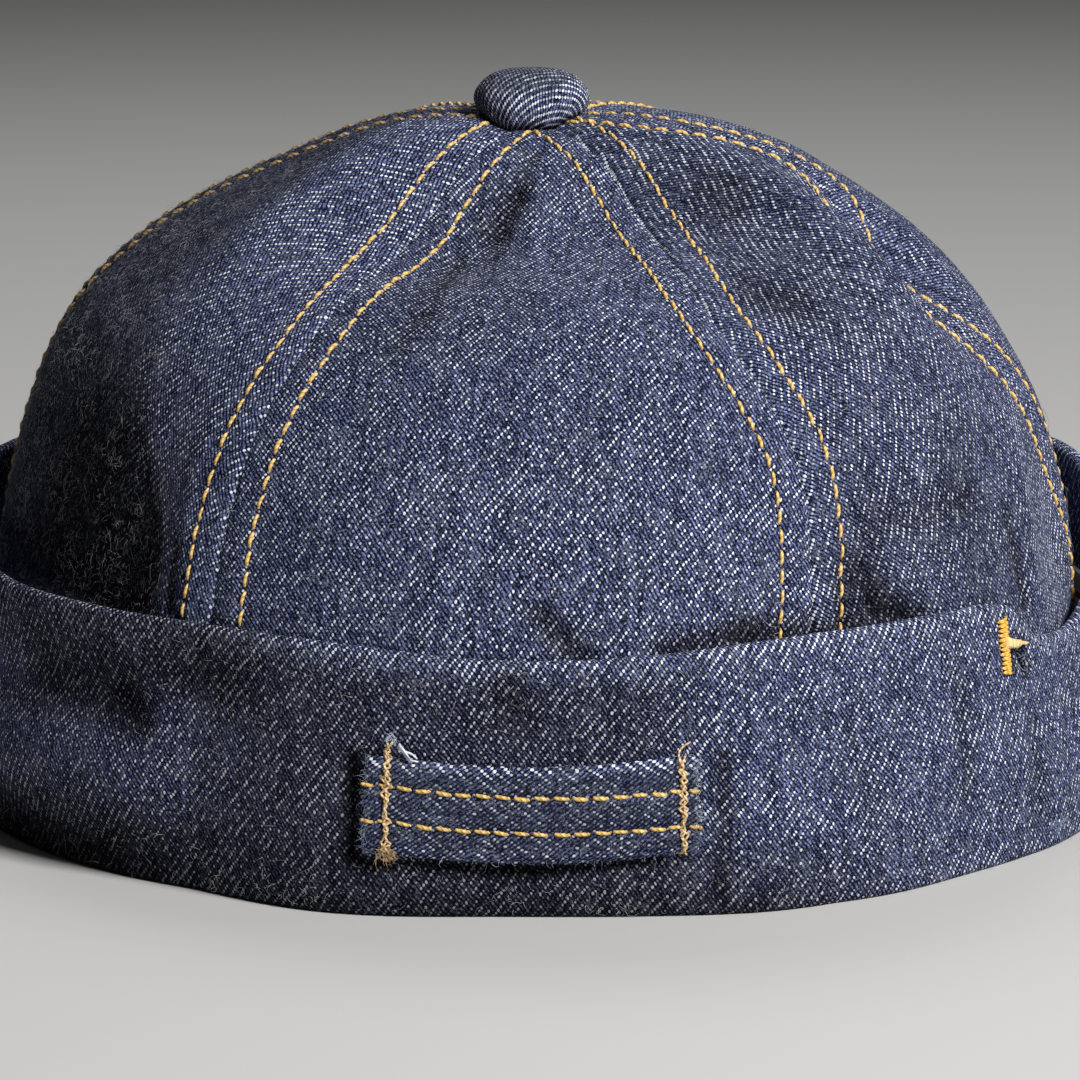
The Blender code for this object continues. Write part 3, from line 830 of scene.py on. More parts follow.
def add_bump(shader, height, distance, strength):
    """Give the shader a bump from a height."""
    normal = node_of(height.tree, "ShaderNodeBump", "Normal", Strength=strength, Distance=distance,
                     Height=height)
    feed(shader.inputs["Normal"], normal)


def make_denim(name, reverse=False):
    """Twill denim: dark warp yarns with a pale weft yarn showing once in every four."""
    material, tree, shader = new_material(name, 0.95, 0.03)
    position = position_of(tree)
    along, up = weave_of(tree)
    wear, nap, shade = (attribute_of(tree, kind) for kind in ("wear", "nap", "shade"))
    ends = (noise_of(position, 420.0) - 0.5).scaled(YARN_WANDER, along / END_PITCH)
    picks = (noise_of(position, 560.0) - 0.5).scaled(YARN_WANDER, up / PICK_PITCH)
    end = ends.maths("FLOOR")
    climb = picks - end
    phase = climb.maths("WRAP", SHAFTS, 0.0)
    repeat = (climb / SHAFTS).maths("FLOOR")

    # the pale dot of weft, a few bright and most of them dim
    chance = node_of(tree, "ShaderNodeTexWhiteNoise", "Value", Vector=vector_of(end, repeat))
    chance.socket.node.noise_dimensions = "2D"
    dot_x = (ends - end - 0.5) / DOT_WIDTH
    dot_y = (phase - 0.5) / DOT_HEIGHT
    spread = (dot_x * dot_x + dot_y * dot_y).maths("SQRT")
    spread = wear.scaled(DOT_GROWTH, chance.scaled(DOT_GROWTH, spread))
    dot = ramp_value(spread, DOT_RIM, DOT_CORE)
    patches = ramp_value(noise_of(position, 75.0, 3.0), 0.30, 0.70, 0.55, 1.20)
    shown = (chance ** DOT_POWER).scaled(DOT_RANGE, DOT_LEAST) * patches
    shown = wear.scaled(WEAR_AND_HIGHLIGHT_ADDS, shown) * nap.scaled(NAP_HIDES, 1.0) * shade.scaled(SHADE_KEEPS, 1.0)
    dot_share = (dot * shown).maths("MINIMUM", 1.0)

    # the floats of warp: short slanting dashes between the rows of dots, uneven from yarn to yarn
    lean = (ends + picks) * 0.5
    band = (picks - ends) * (1.0 / SHAFTS)
    fibres = noise_of(vector_of(lean * 1.9, band * 1.3), 1.7, 2.0, 0.7)
    fibres = ramp_value(fibres, 0.38, 0.66)
    grains = ramp_value(noise_of(position, 2600.0, 1.0, 0.6), 0.32, 0.68, 0.25, 1.75)
    yarn = ramp_value(noise_of(vector_of(end * 7.31, picks * 0.045), 1.0, 1.0), 0.25, 0.75, 0.55, 1.40)
    crest = arch_of(lean).scaled(0.90, 0.10) * arch_of(band).scaled(0.75, 0.25)
    lit = (crest * fibres.scaled(0.75, 0.25) * yarn * grains) ** WARP_POWER
    # painted shade dulls the warp's highlights and turns its colour greyer
    lit = lit * shade.scaled(SHADE_DULLS, 1.0)
    warp = mix_colours(lit, WARP_DARK, mix_colours(shade, WARP_LIGHT, WARP_SHADED))
    # napped places darken towards the nap's painted shade colour
    warp = mix_colours(nap * 0.75, warp, NAP_SHADE_COLOUR)
    if reverse:
        colour = mix_colours(ramp_value(crest, 0.0, 1.0, 0.15, 0.75), WARP_DARK, WEFT_COLOUR)
        colour = mix_colours(dot_share * 0.9, colour, WARP_DARK)
    else:
        colour = mix_colours(dot_share, warp, WEFT_COLOUR)

    # painted shade, and over it pale fibres that lie on the cloth, dimmed where the painted shade is deep
    lines = (noise_of(position, 900.0, 3.0, 0.65) - 0.5).maths("ABSOLUTE")
    where = ramp_value(nap.scaled(0.16, noise_of(position, 230.0)), *HAIR_PLACES)
    hairs = ramp_value(lines, HAIR_WIDTH, 0.0) * (where * shade.scaled(SHADE_HIDES, 1.0))
    colour = mix_colours(shade, colour, SHADE_COLOUR)
    feed(shader.inputs["Base Color"], mix_colours(hairs, colour, FUZZ_COLOUR))
    add_bump(shader, fibres.scaled(0.25, crest.maths("MAXIMUM", dot * 0.75)), 0.14 * MM, 0.7)
    return material


def make_thread(name):
    """Glossy sewing thread of two plies twisted together."""
    material, tree, shader = new_material(name, 0.42, 0.5)
    light, dark = THREAD_COLOURS[name]
    length, round_it = weave_of(tree)
    turn = round_it.scaled(2.0, length * (2.0 * math.pi / TWIST_PITCH))
    ply = ribs_of(turn * 0.5)
    strands = ramp_value(noise_of(position_of(tree), 1700.0, 3.0, 0.6), 0.30, 0.70, 0.45, 1.0)
    feed(shader.inputs["Base Color"], mix_colours(ramp_value(ply, 0.0, 0.60) * strands, dark, light))
    add_bump(shader, ply, 0.10 * MM, 0.8)
    return material


def make_fibre(name):
    """Loose cotton fibres, paler and darker ones mixed."""
    material, tree, shader = new_material(name, 0.75)
    light, dark = FIBRE_COLOURS[name]
    share = ramp_value(noise_of(position_of(tree), 160.0, 2.0, 0.7), 0.40, 0.60)
    feed(shader.inputs["Base Color"], mix_colours(share, dark, light))
    return material


def make_selvedge_cloth():
    """White woven edge with one red line along it."""
    material, tree, shader = new_material("selvedge_cloth", 0.85)
    along, level = weave_of(tree)
    knots = ribs_of(along / END_PITCH * math.pi) * ribs_of(level / PICK_PITCH * math.pi)
    offset = (level - 0.5 * SELVEDGE_WIDTH).maths("ABSOLUTE")
    cloth = mix_colours(knots, (0.42, 0.40, 0.40), (0.84, 0.82, 0.80))
    red = mix_colours(knots, (0.25, 0.010, 0.012), (0.62, 0.030, 0.035))
    feed(shader.inputs["Base Color"], mix_colours(ramp_value(offset, *RED_LINE_EDGE), cloth, red))
    add_bump(shader, knots, 0.12 * MM, 0.8)
    return material


# Mesh building

def add_object(name, data):
    """Add an object of some data to the scene."""
    obj = bpy.data.objects.new(name, data)
    bpy.context.scene.collection.objects.link(obj)
    return obj


def make_object(name, vertices, faces, materials, weave=None, face_materials=None, **values):
    """Make a mesh object around the cap's axis, with its weave coordinates and its values by name."""
    mesh = bpy.data.meshes.new(name)
    mesh.from_pydata((np.asarray(vertices, float) + AXIS).tolist(), [], faces)
    for material in materials:
        mesh.materials.append(material)
    if face_materials is not None:
        mesh.polygons.foreach_set("material_index", np.asarray(face_materials, np.int32))
    if weave is not None:
        attribute = mesh.attributes.new("weave", "FLOAT_VECTOR", "POINT")
        attribute.data.foreach_set("vector", np.asarray(weave, np.float32).ravel())
    for kind, numbers in values.items():
        attribute = mesh.attributes.new(kind, "FLOAT", "POINT")
        attribute.data.foreach_set("value", np.asarray(numbers, np.float32).ravel())
    mesh.shade_smooth()
    mesh.update()
    return add_object(name, mesh)


def grid_faces(rows, columns, start=0, closed=False, flip=False):
    """Return the quads of a grid of points, closed round its columns where asked."""
    row = np.arange(rows - 1)[:, None]
    column = np.arange(columns if closed else columns - 1)[None, :]
    after = (column + 1) % columns
    corners = [row * columns + column, row * columns + after, (row + 1) * columns + after,
               (row + 1) * columns + column]
    if flip:
        corners.reverse()
    return (np.stack([c + 0 * corners[0] for c in corners], axis=-1).reshape(-1, 4) + start).tolist()


def border_walk(rows, columns):
    """Return the border of a grid as a loop of (row, column) places."""
    walk = [(0, k) for k in range(columns)]
    walk += [(i, columns - 1) for i in range(1, rows)]
    walk += [(rows - 1, k) for k in range(columns - 2, -1, -1)]
    walk += [(i, 0) for i in range(rows - 2, 0, -1)]
    return walk


def cloth_slab(name, outer, inner, weave, materials, **values):
    """Join a fine outer grid and a coarse inner one into a closed wall of cloth."""
    rows, columns = outer.shape[:2]
    few_rows, few_columns = inner.shape[:2]
    start = rows * columns
    faces = grid_faces(rows, columns, flip=True)
    kinds = [0] * len(faces)
    inner_faces = grid_faces(few_rows, few_columns, start)
    faces += inner_faces
    kinds += [1] * len(inner_faces)
    fine, few = border_walk(rows, columns), border_walk(few_rows, few_columns)
    for n in range(len(few)):
        run = [fine[(n * INNER_STEP + m) % len(fine)] for m in range(INNER_STEP + 1)]
        edge = [i * columns + k for i, k in run]
        back = [start + i * few_columns + k for i, k in (few[(n + 1) % len(few)], few[n])]
        faces.append(edge + back)
        kinds.append(0)
    vertices = np.concatenate([outer.reshape(-1, 3), inner.reshape(-1, 3)])
    weaves = np.concatenate([weave.reshape(-1, 3), coarse(weave).reshape(-1, 3)])
    values = {kind: np.concatenate([v.ravel(), 0.0 * coarse(v).ravel()]) for kind, v in values.items()}
    return make_object(name, vertices, faces, materials, weaves, kinds, **values)


def finish_piece(obj, slot, *nodes):
    """Let a piece ride on the cap and stand for its solids, which are hidden; its slot is not used."""
    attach(obj, "root")
    if nodes:
        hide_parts(*nodes)
    return obj


# Crown

def panel_weave(index, azimuth, station):
    """Return where each place of a panel lies in its flat cloth: across and along the grain.

    The cloth is laid over the dome along the panel's middle, so level lines of cloth are
    square to the middle and drop away beside it.
    """
    start = SEAMS[index][2]
    middle = start + 0.5 * ((SEAMS[(index + 1) % len(SEAMS)][2] - start) % 360)
    radius, height = crown_profile(azimuth, station, dented=False, puffed=False)
    turn = np.radians(azimuth - middle)
    side, out = radius * np.sin(turn), radius * np.cos(turn)
    up = np.maximum(height - SPRING_HEIGHT, 0.0)
    reach = np.sqrt(side ** 2 + out ** 2 + up ** 2)
    across = reach * np.arcsin(np.clip(side / reach, -1.0, 1.0))
    foot = np.clip(1.0 - np.degrees(np.arctan2(up, out)) / 90.0, 0.0, 1.0)
    stations = np.linspace(0.0, 1.0, 200)
    points = np.stack(crown_profile(middle, stations, dented=False, puffed=False), axis=-1)
    along = -np.interp(foot, stations, run_lengths(points)) - np.maximum(SPRING_HEIGHT - height, 0.0)
    return turned_weave(across, along, *PANEL_GRAIN[index])


def make_panel_cloth(index, materials):
    """One crown panel of denim, thick at its seams and dimpled along its stitches."""
    front = index in FRONT_PANELS
    columns, rows = (FRONT_COLUMNS, FRONT_ROWS) if front else (BACK_COLUMNS, BACK_ROWS)
    share = np.linspace(0.0, 1.0, columns + 1)
    share = share - 0.45 * np.sin(2 * math.pi * share) / (2 * math.pi)
    hem = 2.0 - (FOLD_HEIGHT + LAP_GAP) / SPRING_HEIGHT
    station = np.linspace(PANEL_TIP, hem, rows + 1)[:, None] + 0.0 * share[None, :]
    start = seam_azimuth(index, station)
    width = (seam_azimuth(index + 1, station) - start) % 360
    azimuth = start + width * share[None, :]
    outer, normal, wear, shade = crown_surface(azimuth, station)
    inner = coarse(outer) - coarse(normal) * PANEL_WALL
    obj = cloth_slab(f"crown_cloth_{index + 1}", outer, inner, panel_weave(index, azimuth, station),
                     materials, wear=wear, shade=shade, nap=crown_nap(azimuth, station))
    return finish_piece(obj, "crown_denim", f"crown_panel_{index + 1}")


# Cuff

def cuff_face(azimuth, share):
    """Return points of the cuff's smooth outer face."""
    return place(azimuth, cuff_outer_radius(azimuth, share), wall_height(azimuth) * share)


def cuff_shade(azimuth, height):
    """Return the depth of the cuff's creases, and its painted shade: in the creases, near the foot, low on the
    left, over the front below the rim and high on the left.
    """
    points = cuff_face(azimuth, height / wall_height(azimuth))
    depth, shade = creases_of(CUFF_CREASES, points, cuff_face)
    turn, share = signed(azimuth), height / wall_height(azimuth)
    low = 0.88 * smooth_step(18.0 * MM, 2.0 * MM, height) * hill(turn, *LEFT_TURNS, -46.0, -28.0)
    edge = 0.30 * smooth_step(14.0 * MM, 6.0 * MM, height) + 0.30 * smooth_step(6.0 * MM, 1.0 * MM, height)
    edge = edge * hill(turn, *LEFT_TURNS, 20.0, 40.0)
    middle = 0.40 * hill(turn, -42.0, -22.0, 9.0, 19.0) * smooth_step(1.0, 0.90, share)
    top = 0.42 * smooth_step(0.70, 0.86, share) * hill(turn, -90.0, -70.0, -34.0, -18.0)
    return depth, darker(shade, low, edge, middle, top)


def cuff_relief(azimuth, height):
    """Return the height of the cuff's cloth above its smooth form."""
    azimuth, height = np.broadcast_arrays(np.asarray(azimuth, float), np.asarray(height, float))
    points = place(azimuth, CROWN_RADIUS, height)
    return bumps_of(CUFF_BUMPS, points) - cuff_shade(azimuth, height)[0]


def make_cuff_cloth(materials):
    """The turned-up cuff: outer wall, rolled rim, inner wall, channel, band and fold."""
    azimuth = np.linspace(0.0, 360.0, CUFF_COLUMNS, endpoint=False)
    wall = wall_height(azimuth)
    bend = 0.5 * FOLD_HEIGHT
    half = 0.5 * CUFF_WALL
    band_low, band_top = band_radius(azimuth, FOLD_HEIGHT), band_radius(azimuth, BAND_HEIGHT)
    heel = band_low - BAND_WALL
    foot = cuff_outer_radius(azimuth, CUFF_FOOT_SHARE)
    rows = [(heel + HEEL_BEVEL * bend, 0.0 * wall, 0.0), (0.5 * (heel + foot), 0.0 * wall, 0.0),
            (foot - bend, 0.0 * wall, 0.0)]
    for turn in np.radians([-60.0, -40.0, -20.0]):
        rows.append((foot - bend + bend * np.cos(turn), bend + bend * np.sin(turn), 0.4))
    for share in np.linspace(CUFF_FOOT_SHARE, 1.0, CUFF_ROWS):
        rows.append((cuff_outer_radius(azimuth, share), wall * share, 1.0))
    rim = cuff_inner_radius(azimuth, 1.0) + half
    for turn in np.radians(np.linspace(18.0, 180.0, 10)):
        rows.append((rim + half * np.cos(turn), wall + half * np.sin(turn), 1.0 if turn < 2.0 else 0.3))
    for share in np.linspace(1.0, CUFF_FOOT_SHARE, 20)[1:]:
        rows.append((cuff_inner_radius(azimuth, share), wall * share, 0.0))
    rows += [(band_low, FOLD_HEIGHT + 0.0 * wall, 0.0)]
    for share in np.linspace(0.0, 1.0, 8)[1:]:
        rows.append((band_low + (band_top - band_low) * share,
                     FOLD_HEIGHT + (BAND_HEIGHT - FOLD_HEIGHT) * share + 0.0 * wall, 0.0))
    low = HEEL_BEVEL * bend
    for share in np.linspace(1.0, 0.0, 12):
        rows.append((heel + (band_top - band_low) * share,
                     low + (BAND_HEIGHT - low) * share + 0.0 * wall, 0.0))
    # radius, height and how much of the cloth's relief each row of points takes
    radius = np.stack([row[0] + 0.0 * wall for row in rows])
    height = np.stack([row[1] + 0.0 * wall for row in rows])
    amount = np.array([row[2] for row in rows])[:, None]
    ring = np.broadcast_to(azimuth, radius.shape)
    radius = radius + amount * cuff_relief(ring, height)
    shown = amount > 0.2
    shade = cuff_shade(ring, height)[1] * shown
    points = place(ring, radius, height)
    run = np.cumsum(np.linalg.norm(np.diff(points, axis=0), axis=2), axis=0)
    run = np.concatenate([np.zeros((1, CUFF_COLUMNS)), run])
    # the cloth is joined at the back, so the weave runs round from there, and one column more
    # than the points around gives it its two edges
    turned = (ring + 180.0) % 360.0
    weave = np.stack([np.radians(turned) * CUFF_WEAVE_RADIUS, run, 0.0 * run], axis=-1)
    # the rolled rim is paler, partly wear and partly painted highlight, less so on the left; the fold at the
    # foot is worn
    rolled = np.exp(-((height - wall - 0.3 * half) / RIM_WEAR_AND_HIGHLIGHT_REACH) ** 2) * shown
    fold = np.exp(-(height / FOLD_WEAR_REACH) ** 2) * shown
    wear = (0.5 - 0.15 * smooth_step(-15.0, -40.0, signed(ring))) * rolled + 0.3 * fold
    order = (np.arange(CUFF_COLUMNS + 1) + int(np.argmin(turned[0]))) % CUFF_COLUMNS
    points, weave, shade, wear = points[:, order], weave[:, order], shade[:, order], wear[:, order]
    weave[:, -1, 0] = math.radians(360.0) * CUFF_WEAVE_RADIUS
    faces = grid_faces(len(rows), CUFF_COLUMNS + 1)
    last = (len(rows) - 1) * (CUFF_COLUMNS + 1)
    loop = [[last + k, last + k + 1, k + 1, k] for k in range(CUFF_COLUMNS)]
    obj = make_object("cuff_cloth", points.reshape(-1, 3), faces + loop, materials,
                      weave.reshape(-1, 3), wear=wear, shade=shade)
    return finish_piece(obj, "cuff_denim", "cuff")


# Button

def crown_height_at(azimuth, radius):
    """Return the crown's height at a radius near its top."""
    return crown_profile(azimuth, station_where(azimuth, 0, radius))[1]


def make_button_cloth(materials):
    """The covered button: cloth drawn over a low dome, with its post and back disc."""
    azimuth = np.linspace(0.0, 360.0, BUTTON_COLUMNS, endpoint=False)
    dome_top = crown_height_at(azimuth, BUTTON_RADIUS).max() + BUTTON_RISE
    under = station_where(azimuth, 0, BACK_DISC_RADIUS)
    disc_top = (crown_profile(azimuth, under)[1] - PANEL_WALL).min() - BUTTON_GAP
    disc_low = disc_top - BACK_DISC_THICKNESS
    seat = crown_height_at(azimuth, BUTTON_SEAT * BUTTON_RADIUS) + BUTTON_GAP
    neck = crown_height_at(azimuth, BUTTON_NECK * BUTTON_RADIUS) + BUTTON_GAP
    root = crown_height_at(azimuth, POST_RADIUS + POST_GAP) + BUTTON_GAP
    knots = np.arange(len(BUTTON_PROFILE) + 1)
    profile = np.array([(0.0, 1.002)] + BUTTON_PROFILE)
    rows = []
    for place_on in np.linspace(0.12, knots[-1], BUTTON_ROWS):
        radius = BUTTON_RADIUS * curve_values(knots, profile[:, 0], place_on)
        share = curve_values(knots, profile[:, 1], place_on)
        rows.append((radius + 0.0 * seat, seat + (dome_top - seat) * share))
    for radius, height in ((BUTTON_SEAT * BUTTON_RADIUS, seat), (BUTTON_NECK * BUTTON_RADIUS, neck),
                           (POST_RADIUS, root), (POST_RADIUS, disc_top), (BACK_DISC_RADIUS, disc_top),
                           (BACK_DISC_RADIUS, disc_low), (0.1 * BACK_DISC_RADIUS, disc_low)):
        rows.append((radius + 0.0 * seat, height + 0.0 * seat))
    radius = np.stack([r for r, _ in rows])
    height = np.stack([z for _, z in rows])
    ring = np.broadcast_to(azimuth, radius.shape)
    run = np.cumsum(np.hypot(np.diff(radius, axis=0), np.diff(height, axis=0)), axis=0)
    run = np.concatenate([radius[:1], radius[:1] + run])
    points = place(ring, radius, height)
    level = smooth_step(0.9 * BUTTON_RISE, 0.1 * BUTTON_RISE, height - seat)
    gathers = np.sin(np.radians(13.0 * ring) + 2.0 * soft_noise(points, 6 * MM, 41)) * 0.16 * MM * level
    lumps = soft_noise(points, 5 * MM, 43) * 0.16 * MM
    cloth = (np.arange(len(rows)) < BUTTON_ROWS)[:, None]
    points = points + place(ring, 1.0, 0.0) * ((gathers + lumps) * cloth)[..., None]
    flat = place(ring, run, 0.0)
    weave = turned_weave(flat[..., 0], flat[..., 1], BUTTON_GRAIN)
    faces = grid_faces(len(rows), BUTTON_COLUMNS, closed=True, flip=True)
    faces.append(list(range(BUTTON_COLUMNS)))
    last = (len(rows) - 1) * BUTTON_COLUMNS
    faces.append(list(range(last + BUTTON_COLUMNS - 1, last - 1, -1)))
    # painted shade low on the dome, where it meets the crown
    shade = 0.6 * smooth_step(0.25 * BUTTON_RISE, 0.0, height - seat)
    top = smooth_step(0.66 * BUTTON_RISE, 0.92 * BUTTON_RISE, height - seat)
    # nap on the top and on the left side, darkened with painted shade
    nap = 0.75 * np.maximum(top, smooth_step(-20.0, -60.0, signed(ring)))
    obj = make_object("button_cloth", points.reshape(-1, 3), faces, materials, weave.reshape(-1, 3),
                      wear=BUTTON_WEAR + 0.0 * radius, shade=shade, nap=nap)
    return finish_piece(obj, "button_denim", "top_button")


# Strip

def strip_place(along, level, lift=0.0):
    """Return points over the strip: along from its middle and level from its centre line, both
    in metres, lifted off the strip's back."""
    wall = wall_height(0.0)
    face = cuff_outer_radius(0.0, STRIP_CENTRE_HEIGHT / wall)
    azimuth = np.degrees(along / face)
    arch = np.maximum(0.0, 1.0 - (2.0 * along / STRIP_LENGTH / STRIP_SEWN_AT) ** 2)
    height = STRIP_CENTRE_HEIGHT + level - STRIP_SAG * arch
    radius = cuff_outer_radius(azimuth, height / wall_height(azimuth)) + cuff_relief(azimuth, height)
    return place(azimuth, radius + STRIP_GAP + STRIP_BOW * arch + lift, height)


def strip_rows(along):
    """Return the levels of the strip's two rows of stitches, which run a little aslant."""
    slant = -STRIP_ROW_SLANT * 2.0 * along / STRIP_LENGTH
    return STRIP_ROW_LEVEL + slant, -STRIP_ROW_LEVEL + slant


def strip_lift(along, level):
    """Return how far the strip's face stands off its back."""
    share = np.abs(2.0 * level / STRIP_WIDTH)
    end = np.abs(2.0 * along / STRIP_LENGTH)
    lift = STRIP_THICKNESS * (1.0 - 0.55 * smooth_step(0.86, 1.0, share) - 0.12 * smooth_step(0.97, 1.0, end))
    for row in strip_rows(along):
        lift = lift - STRIP_ROW_DIMPLE * np.exp(-((level - row) / ROW_DIMPLE_WIDTH) ** 2)
    for at in (STRIP_TACK_LEFT, STRIP_TACK_RIGHT):
        lift = lift - TACK_DIMPLE * np.exp(-((along - at) / TACK_DIMPLE_WIDTH) ** 2)
    points = np.stack([along + 0.0 * level, 0.0 * along * level, level + 0.0 * along], axis=-1)
    return lift + bumps_of(STRIP_BUMPS, points)


def make_strip_cloth(materials):
    """The strip of folded denim sewn on the cuff."""
    along = np.linspace(-0.5, 0.5, STRIP_COLUMNS + 1)[None, :] * STRIP_LENGTH
    level = np.linspace(0.5, -0.5, STRIP_ROWS + 1)[:, None] * STRIP_WIDTH
    along, level = np.broadcast_arrays(along, level)
    frayed = np.abs(2.0 * along / STRIP_LENGTH) > 0.999
    rough = soft_noise(np.stack([along, 0 * along, level], axis=-1), 1.1 * MM, 57) * 0.25 * MM * frayed
    outer = strip_place(along + rough, level, strip_lift(along, level))
    inner = strip_place(coarse(along), coarse(level))
    share = np.abs(2.0 * level / STRIP_WIDTH)
    end = np.abs(2.0 * along / STRIP_LENGTH)
    # the upper folded edge is paler, partly wear and partly painted highlight; the raw ends are worn
    wear = 0.8 * smooth_step(0.80, 0.93, share) * (level > 0) + 0.2 * smooth_step(0.965, 1.0, end)
    # a little painted shade all over the strip
    obj = cloth_slab("strip_cloth", outer, inner, turned_weave(along, level, STRIP_GRAIN), materials,
                     wear=wear, shade=0.04 + 0.0 * share, nap=0.55 * smooth_step(0.90, 0.70, share))
    return finish_piece(obj, "strip_denim", "cuff_strip")


def make_selvedge_band(materials):
    """The white woven edge with its red line, on the inner side of the raised cuff."""
    azimuth = np.linspace(SELVEDGE_END, SELVEDGE_START, SELVEDGE_COLUMNS + 1)[None, :]
    level = np.linspace(0.0, SELVEDGE_WIDTH, SELVEDGE_ROWS + 1)[:, None]
    azimuth, level = np.broadcast_arrays(azimuth, level)
    height = SELVEDGE_HEIGHT + level
    radius = cuff_inner_radius(azimuth, height / wall_height(azimuth)) - SELVEDGE_GAP
    waves = soft_noise(place(azimuth, radius, height), 9 * MM, 61) * 0.10 * MM
    outer = place(azimuth, radius - SELVEDGE_THICKNESS + waves, height)
    inner = place(coarse(azimuth), coarse(radius), coarse(height))
    weave = np.stack([np.radians(azimuth) * radius, level, 0.0 * level], axis=-1)
    obj = cloth_slab("selvedge_band", outer, inner, weave, materials)
    return finish_piece(obj, "selvedge", "selvedge_edge")


# Threads

def make_tubes(name, centres, upward, radii, material, sides=THREAD_SIDES, twists=0.0, plies=3):
    """Sweep many closed tubes at once. centres and upward are (tube, ring, 3), radii (tube, ring)."""
    count, rings = centres.shape[:2]
    run = unit(np.gradient(centres, axis=1))
    side = unit(np.cross(run, upward))
    up = np.cross(side, run)
    turn = np.linspace(-0.5 * math.pi, 1.5 * math.pi, sides, endpoint=False)
    along = np.linspace(0.0, 1.0, rings)[None, :, None]
    swell = 1.0 + 0.15 * np.cos(plies * (turn - 2.0 * math.pi * twists * along)) if twists else 1.0
    reach = (radii[..., None] * swell)[..., None]
    points = centres[:, :, None] + reach * (np.cos(turn)[:, None] * side[:, :, None]
                                            + np.sin(turn)[:, None] * up[:, :, None])
    one = np.array(grid_faces(rings, sides, closed=True))
    starts = np.arange(count)[:, None, None] * rings * sides
    faces = (one[None] + starts).reshape(-1, 4).tolist()
    caps = np.stack([np.arange(sides)[::-1], (rings - 1) * sides + np.arange(sides)])
    faces += (caps[None] + starts).reshape(-1, sides).tolist()
    steps = np.linalg.norm(np.diff(centres, axis=1), axis=-1)
    lengths = np.concatenate([np.zeros((count, 1)), np.cumsum(steps, axis=1)], axis=1)
    lie = np.stack(np.broadcast_arrays(lengths[..., None], turn, 0.0), axis=-1)
    return make_object(name, points.reshape(-1, 3), faces, [material], lie.reshape(-1, 3))


def thread_piece(name, tubes, material, slot="thread", **options):
    """Make one piece of a set of tubes."""
    return finish_piece(make_tubes(name, *tubes, material, **options), slot)


def stitch_tubes(lengths, points, normals, starts, pitch=STITCH_PITCH):
    """Return centres, directions and radii of stitches laid along a run of surface points."""
    share = np.linspace(0.0, 1.0, THREAD_RINGS)
    uneven = draw.normal(0.0, 1.0, (3, len(starts), 1))
    at = starts[:, None] + pitch * (STITCH_SHARE + 0.02 * uneven[0]) * share[None, :]
    centre = np.stack([np.interp(at, lengths, points[:, axis]) for axis in range(3)], axis=-1)
    upward = unit(np.stack([np.interp(at, lengths, normals[:, axis]) for axis in range(3)], axis=-1))
    hump = np.sin(math.pi * share)
    lift = THREAD_RADIUS * (-0.9 + 1.25 * hump ** 0.35)
    radius = THREAD_RADIUS * (0.55 + 0.45 * hump ** 0.4)
    side = unit(np.cross(np.gradient(centre, axis=1), upward))
    sideways = STITCH_SLANT * (2.0 * share - 1.0) * (1.0 + 0.5 * uneven[1]) + STITCH_JITTER * uneven[2]
    centre = centre + side * sideways[..., None]
    return centre + upward * lift[None, :, None], upward, radius * (1.0 + 0.08 * uneven[2])


def join_tubes(sets):
    """Join several sets of tubes into one."""
    return [np.concatenate(parts) for parts in zip(*sets)]


def make_crown_stitching(material, shaded):
    """Two rows of topstitching down each seam of the crown; the left seam's thread is darker for painted
    shade, and nap has grown over it.
    """
    for index in range(len(SEAMS)):
        sets = []
        stations, lengths = SEAM_RUNS[index]
        for side in (-1.0, 1.0):
            lean = seam_lean(index, stations)
            middle = seam_azimuth(index, stations)
            azimuth = middle
            for _ in range(3):
                radius = crown_profile(azimuth, stations)[0]
                azimuth = middle + side * np.degrees(row_offset(stations) / np.maximum(radius * lean, 5 * MM))
            points, normals, _, _ = crown_surface(azimuth, stations)
            shown = crown_profile(azimuth, stations)[0] > BUTTON_RADIUS * 0.93
            first = lengths[np.argmax(shown)]
            count = int((lengths[-1] - first) / STITCH_PITCH) - 1
            starts = (int(first / STITCH_PITCH) + np.arange(count + 1)) * STITCH_PITCH
            starts = starts + draw.normal(0.0, 0.08 * MM, count + 1)
            sets.append(stitch_tubes(lengths, points, normals, starts))
        thread = shaded if index == LEFT_SEAM else material
        thread_piece(f"seam_stitching_{index + 1}", join_tubes(sets), thread, twists=PLY_TWISTS)


def surface_normals(points):
    """Return the outward directions along a run of points on the upright cuff."""
    out = points.copy()
    out[..., 2] = 0.0
    return unit(out)


def make_strip_stitching(material):
    """The two rows along the strip."""
    sets = []
    along = np.linspace(-0.51, 0.505, 500) * STRIP_LENGTH
    for number in range(2):
        level = strip_rows(along)[number]
        inside = np.abs(along) < 0.5 * STRIP_LENGTH
        points = strip_place(along, level, np.where(inside, strip_lift(along, level), 0.9 * STRIP_THICKNESS))
        lengths = run_lengths(points)
        count = int(lengths[-1] / STRIP_STITCH_PITCH) + 1
        starts = (np.arange(count) + 0.05) * STRIP_STITCH_PITCH
        starts = starts + draw.normal(0.0, 0.10 * MM, count)
        sets.append(stitch_tubes(lengths, points, surface_normals(points), starts, STRIP_STITCH_PITCH))
    thread_piece("strip_stitching", join_tubes(sets), material, twists=PLY_TWISTS)


